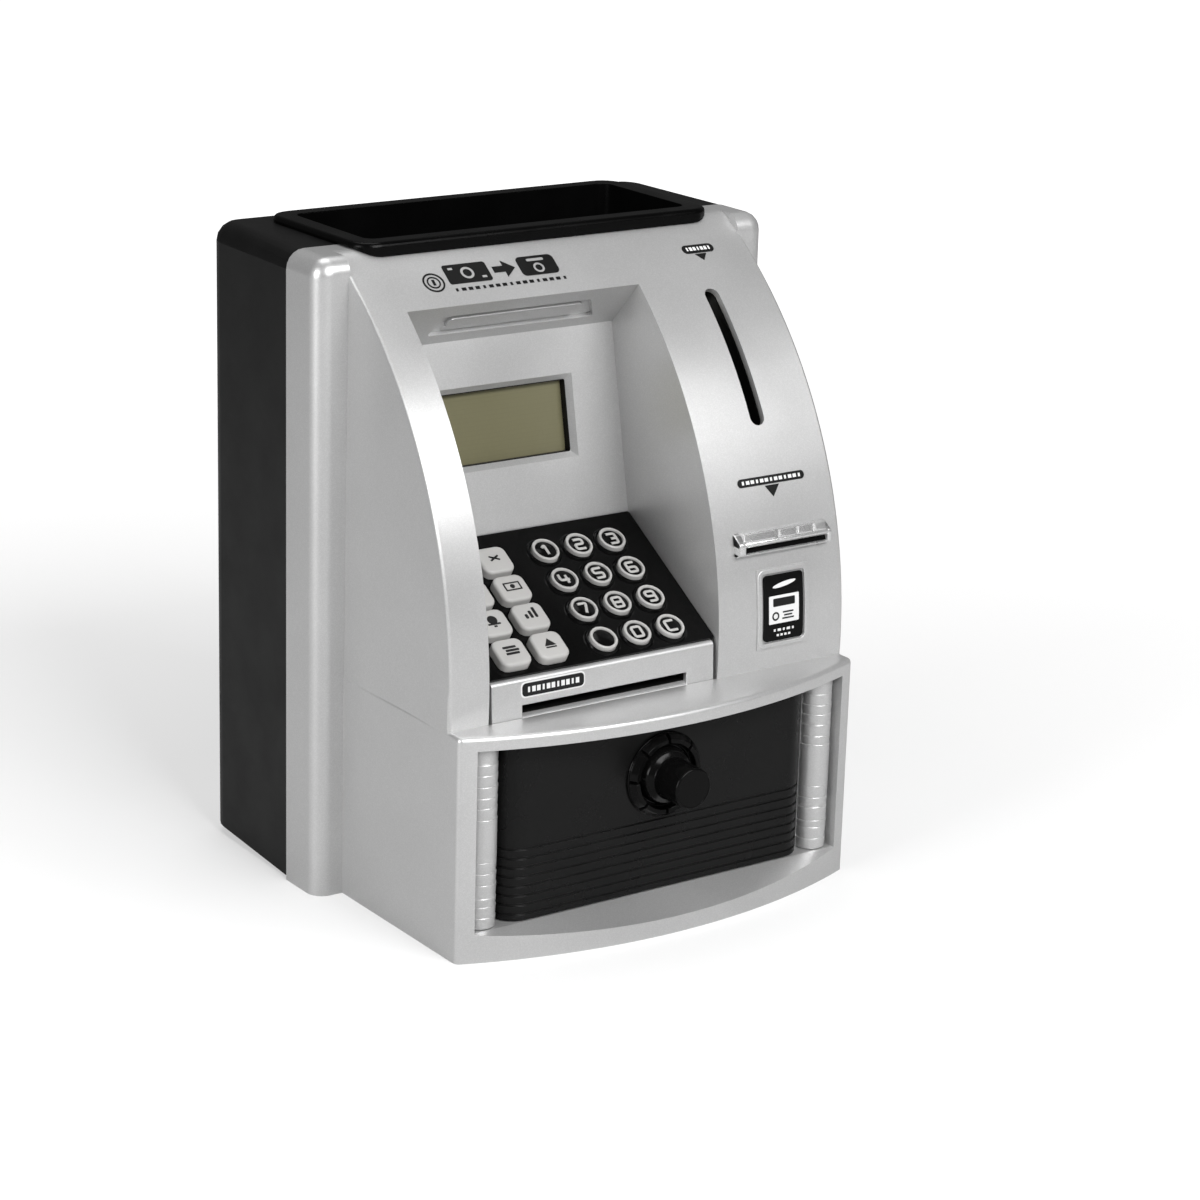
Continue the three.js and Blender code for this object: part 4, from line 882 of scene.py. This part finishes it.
# raised facets on the sloping top of the lip
top_a = Vector((0, lip_root - 1.2 * MM, note_high.z - 0.5 * MM))
top_b = Vector((0, lip_root - 4.2 * MM, note_low.z + 4.8 * MM))
lip_up = (top_a - top_b).normalized()
lip_frame = basis(X_AXIS, lip_up, X_AXIS.cross(lip_up), (top_a + top_b) / 2 + X_AXIS * NOTE_X)
facets = bmesh.new()
for offset, width in ((-9.6, 12.6), (1.3, 6.6), (8.2, 5.8), (14.3, 4.8)):
    facet = plate(width * MM, 3.0 * MM, 0.6 * MM)
    soften(facet, [e for e in facet.edges if all(v.co.z > 0.3 * MM for v in e.verts)], 0.5 * MM, 3)
    shear = Matrix.Identity(4)
    shear[0][1] = 0.55
    merge_into(facets, facet, at(offset * MM, 0, -0.05 * MM) @ shear)
bmesh.ops.transform(facets, matrix=lip_frame, verts=facets.verts)
to_piece("note_lip_facets", facets, CHROME, HOUSING, 30)

# dark throat behind the lip
throat = prism_x([
    (lower_root + 1.4 * MM, note_low.z + 1.5 * MM), (lower_root - 1.6 * MM, note_low.z + 1.5 * MM),
    (lip_root - 2.6 * MM, note_low.z + 3.2 * MM), (lip_root + 0.6 * MM, note_low.z + 3.4 * MM),
], note_low.x + 2.0 * MM, note_high.x - 1.2 * MM)
to_piece("note_throat", throat, GLOSS_BLACK, HOUSING)

# ---------- printed marks ----------

PRINT = 0.14 * MM                       # thickness of a print on the fascia
THIN = 0.05 * MM                        # thickness of a second colour over it


def fascia_print(name, bm, material, x, z):
    bend_to_fascia(bm, x, z)
    return to_piece(name, bm, material, HOUSING)


def pill_label(name, x, z, width, height, arrow_w, arrow_h, ticks):
    """Black pill with a row of plain white ticks and a black arrow under it."""
    bm = plate(width, height, PRINT, height * 0.47, 6)
    merge_into(bm, triangle(arrow_w, arrow_h, PRINT), at(0, -height / 2 - arrow_h / 2 - 0.4 * MM))
    fascia_print(name + "_pill", bm, INK, x, z)
    marks = bmesh.new()
    span = width - 2.2 * MM
    for i in range(ticks):
        wide = span / ticks * (0.72 if i % 3 else 0.42)
        place = at((i + 0.5) * span / ticks - span / 2, 0, PRINT)
        merge_into(marks, plate(wide, height * 0.42, THIN), place)
    fascia_print(name + "_ticks", marks, PRINT_WHITE, x, z)


pill_label("coin_mark", 53.6 * MM, 194.55 * MM, 12.1 * MM, 3.4 * MM, 4.4 * MM, 2.7 * MM, 7)
pill_label("note_mark", 49.7 * MM, 130.6 * MM, 26.1 * MM, 2.7 * MM, 5.6 * MM, 3.7 * MM, 13)

# heading over the niche: a coin emblem, then a note, an arrow and a money box with a coin
heading = bmesh.new()
merge_into(heading, ring(3.7 * MM, 3.1 * MM, PRINT), at(-46.2 * MM, -0.9 * MM))
merge_into(heading, ring(2.3 * MM, 1.8 * MM, PRINT), at(-46.2 * MM, -0.9 * MM))
merge_into(heading, plate(0.9 * MM, 2.2 * MM, PRINT), at(-46.2 * MM, -0.9 * MM))
merge_into(heading, plate(15.5 * MM, 7.6 * MM, PRINT, 0.9 * MM), at(-33.1 * MM, 1.4 * MM))
merge_into(heading, plate(4.2 * MM, 2.4 * MM, PRINT), at(-21.6 * MM, 1.4 * MM))
merge_into(heading, triangle(6.6 * MM, 4.0 * MM, PRINT), at(-17.7 * MM, 1.4 * MM, 0, 90))
merge_into(heading, plate(13.6 * MM, 7.6 * MM, PRINT, 1.6 * MM), at(-7.4 * MM, 1.4 * MM))
for i in range(17):
    tick = plate((1.5 if i % 4 else 0.8) * MM, 1.1 * MM, PRINT)
    merge_into(heading, tick, at((-39.6 + 2.46 * i) * MM, -4.6 * MM))
fascia_print("heading_print", heading, INK, 0, 194.2 * MM)
gaps = bmesh.new()
merge_into(gaps, ring(2.3 * MM, 1.5 * MM, THIN), at(-33.1 * MM, 1.4 * MM, PRINT))
merge_into(gaps, plate(1.6 * MM, 0.8 * MM, THIN), at(-38.4 * MM, 3.5 * MM, PRINT))
merge_into(gaps, plate(1.6 * MM, 0.8 * MM, THIN), at(-27.8 * MM, -0.7 * MM, PRINT))
merge_into(gaps, plate(6.2 * MM, 1.0 * MM, THIN, 0.4 * MM), at(-7.4 * MM, 3.6 * MM, PRINT))
merge_into(gaps, ring(1.9 * MM, 1.2 * MM, THIN), at(-7.4 * MM, 0.3 * MM, PRINT))
fascia_print("heading_gaps", gaps, SILVER, 0, 194.2 * MM)

# label plate: dark ground, pale panel with a coin and bars, a sweep above and ticks below
label_low, label_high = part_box("info_label")
LABEL_X = (label_low.x + label_high.x) / 2
LABEL_Z = (label_low.z + label_high.z) / 2
PANEL_Z = 0.65 * MM                     # face of the dark ground above the fascia
PANEL_THICK = 0.06 * MM
FIGURES_Z = PANEL_Z + PANEL_THICK       # face of the pale panel
ground = plate(15.4 * MM, 21.2 * MM, 0.5 * MM, 1.2 * MM)
bmesh.ops.translate(ground, vec=(0, 0, 0.15 * MM), verts=ground.verts)
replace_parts(fascia_print("label_ground", ground, GLOSS_BLACK, LABEL_X, LABEL_Z), "info_label")
outline = rectangle_tube(19.8 * MM, 25.2 * MM, 1.5 * MM, 0.72 * MM, 2.6 * MM)
round_edges(fascia_print("label_outline", outline, SILVER, LABEL_X, LABEL_Z), 0.25 * MM, 3)
pale = plate(11.8 * MM, 9.0 * MM, PANEL_THICK, 0.3 * MM, 2)
bmesh.ops.translate(pale, vec=(0, -0.6 * MM, PANEL_Z), verts=pale.verts)
merge_into(pale, disc(4.6 * MM, PANEL_THICK, 40, 0.16), at(0.2 * MM, 7.3 * MM, PANEL_Z, 9))
for i in range(5):
    tick = plate((1.3 if i % 2 else 0.7) * MM, 0.8 * MM, PANEL_THICK)
    merge_into(pale, tick, at((-3.6 + 1.8 * i) * MM, -7.2 * MM, PANEL_Z))
for i in range(4):
    merge_into(pale, plate(0.9 * MM, 0.7 * MM, PANEL_THICK), at((-2.3 + 1.5 * i) * MM, -8.9 * MM, PANEL_Z))
fascia_print("label_panel", pale, PRINT_WHITE, LABEL_X, LABEL_Z)
figures = bmesh.new()
merge_into(figures, plate(8.6 * MM, 2.6 * MM, THIN, 0.3 * MM, 2), at(0, 1.7 * MM, FIGURES_Z))
merge_into(figures, ring(1.4 * MM, 0.85 * MM, THIN), at(-3.3 * MM, -2.7 * MM, FIGURES_Z))
for row, wide in enumerate((4.2, 3.2, 4.6)):
    line = plate(wide * MM, 0.5 * MM, THIN)
    merge_into(figures, line, at(1.6 * MM, (-1.7 - row * 1.0) * MM, FIGURES_Z))
fascia_print("label_figures", figures, INK, LABEL_X, LABEL_Z)

# card bezel: upright plate with the slot low down, then a pill on its front
card_low, card_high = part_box("card_bezel")
card_up = Vector((0, 0.75, 13.3)).normalized()
CARD_OUT = X_AXIS.cross(card_up)
CARD_DEPTH = 2.6 * MM
CARD_HEIGHT = 13.3 * MM
SLOT_X0, SLOT_X1 = -47.7 * MM, 13.2 * MM


def slotted_plate(columns, rows, depth):
    """Plate on the grid lines given, open in the middle cell; its front is at the given depth."""
    bm = bmesh.new()
    bmesh.ops.create_grid(bm, x_segments=3, y_segments=3, size=1.0)
    middle = min(bm.faces, key=lambda f: f.calc_center_median().length)
    bmesh.ops.delete(bm, geom=[middle], context="FACES_ONLY")
    for v in bm.verts:
        v.co.x, v.co.y = columns[round((v.co.x + 1) * 1.5)], rows[round((v.co.y + 1) * 1.5)]
    thicken(bm, depth)
    return bm


def on_line(bm, height, depth):
    """Edges of a plate that run along X at the given height and depth."""
    def lies(v):
        return abs(v.co.y - height) < 1e-6 and abs(v.co.z - depth) < 1e-6
    return [e for e in bm.edges if all(lies(v) for v in e.verts)]


bezel = slotted_plate([card_low.x, SLOT_X0, SLOT_X1, card_high.x],
                      [0.1 * MM, 0.95 * MM, 4.6 * MM, CARD_HEIGHT], CARD_DEPTH)
soften(bezel, on_line(bezel, CARD_HEIGHT, CARD_DEPTH), 1.9 * MM, 6)
bmesh.ops.transform(bezel, matrix=basis(X_AXIS, card_up, CARD_OUT, Vector((0, card_low.y, card_low.z))
                                        - CARD_OUT * (CARD_DEPTH - 0.05 * MM)), verts=bezel.verts)
ramp = prism_x([
    (card_low.y + 0.35 * MM, card_low.z + 0.2 * MM), (card_low.y + 0.35 * MM, card_low.z + 0.95 * MM),
    (card_low.y + 2.2 * MM, card_low.z + 1.65 * MM), (card_low.y + 2.7 * MM, card_low.z + 0.2 * MM),
], SLOT_X0 - 0.1 * MM, SLOT_X1 + 0.1 * MM)
merge_into(bezel, ramp)
bezel_piece = to_piece("card_slot_shell", bezel, SILVER, HOUSING)
round_edges(bezel_piece, 0.3 * MM, 3)
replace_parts(bezel_piece, "card_bezel")
card_frame = basis(X_AXIS, card_up, CARD_OUT,
                   Vector((-36.7 * MM, card_low.y + 0.48 * MM, card_low.z + 9.3 * MM)))
card_edge = plate(23.3 * MM, 5.0 * MM, 0.16 * MM, 1.6 * MM)
bmesh.ops.transform(card_edge, matrix=card_frame, verts=card_edge.verts)
to_piece("card_mark_edge", card_edge, PRINT_WHITE, HOUSING)
card_pill = plate(22.4 * MM, 4.1 * MM, 0.22 * MM, 1.3 * MM)
bmesh.ops.transform(card_pill, matrix=card_frame, verts=card_pill.verts)
to_piece("card_mark_pill", card_pill, INK, HOUSING)
card_ticks = bmesh.new()
for i in range(11):
    wide = (1.25 if i % 3 else 0.7) * MM
    merge_into(card_ticks, plate(wide, 1.7 * MM, THIN), at((-8.8 + 1.76 * i) * MM, 0, 0.22 * MM))
bmesh.ops.transform(card_ticks, matrix=card_frame, verts=card_ticks.verts)
to_piece("card_mark_ticks", card_ticks, PRINT_WHITE, HOUSING)

# black lining of the card slot
slot_low = Vector((SLOT_X0 + 0.1 * MM, card_low.y + 1.7 * MM, card_low.z + 1.7 * MM))
slot_high = Vector((SLOT_X1 - 0.1 * MM, SEAM_Y - 49 * MM, card_low.z + 4.5 * MM))
slot_size = slot_high - slot_low
lining = rectangle_tube(slot_size.x, slot_size.z, 0.15 * MM, slot_size.y)
lining_frame = basis(X_AXIS, Vector((0, 0, 1)), Vector((0, -1, 0)),
                     Vector(((slot_low.x + slot_high.x) / 2, slot_high.y, (slot_low.z + slot_high.z) / 2)))
bmesh.ops.transform(lining, matrix=lining_frame, verts=lining.verts)
to_piece("card_slot_lining", lining, INNER_BLACK, HOUSING)

# ---------- floor and lights ----------

def make_floor():
    bm = bmesh.new()
    bmesh.ops.create_grid(bm, x_segments=1, y_segments=1, size=6.0)
    mesh = bpy.data.meshes.new("floor")
    bm.to_mesh(mesh)
    bm.free()
    floor = bpy.data.objects.new("floor", mesh)
    scene.collection.objects.link(floor)
    material, tree, shader = start_material("pale_floor")
    place = put(tree, "ShaderNodeTexCoord").outputs["Object"]
    tree.links.new(blend_colours(tree, noise(tree, place, 3.0), grey(0.50), grey(0.54)),
                   shader.inputs["Base Color"])
    away = put(tree, "ShaderNodeVectorMath", operation="LENGTH")
    tree.links.new(place, away.inputs[0])
    glow = remap(tree, away.outputs["Value"], 0.15, 1.1, 0.42, 0.98)
    shader.inputs["Roughness"].default_value = 0.7
    seen = put(tree, "ShaderNodeLightPath").outputs["Is Camera Ray"]
    shader.inputs["Emission Color"].default_value = grey(1.0)
    tree.links.new(arithmetic(tree, "MULTIPLY", seen, glow), shader.inputs["Emission Strength"])
    mesh.materials.append(material)


def make_world():
    """White backdrop for the camera, a dim even room for everything else."""
    world = bpy.data.worlds.new("studio")
    scene.world = world
    world.use_nodes = True
    tree = world.node_tree
    seen = put(tree, "ShaderNodeLightPath").outputs["Is Camera Ray"]
    background = tree.nodes["Background"]
    background.inputs["Color"].default_value = grey(1.0)
    tree.links.new(remap(tree, seen, 0.0, 1.0, 0.08, 1.0), background.inputs["Strength"])


make_floor()
make_world()
make_light("key_light", (-0.05, -1.5, 1.15), (0, 0, 0.11), 0.8, 0.8, 25)
make_light("glance_light", (0.42, -1.0, 0.92), (-0.06, -0.05, 0.14), 0.40, 0.40, 6)
make_light("side_light", (-1.5, -0.22, 0.60), (0, 0, 0.11), 0.6, 0.9, 15.5)
make_light("top_light", (0.1, 0.4, 1.6), (0, 0, 0.11), 1.0, 1.0, 9)
scene.view_settings.view_transform = "Standard"
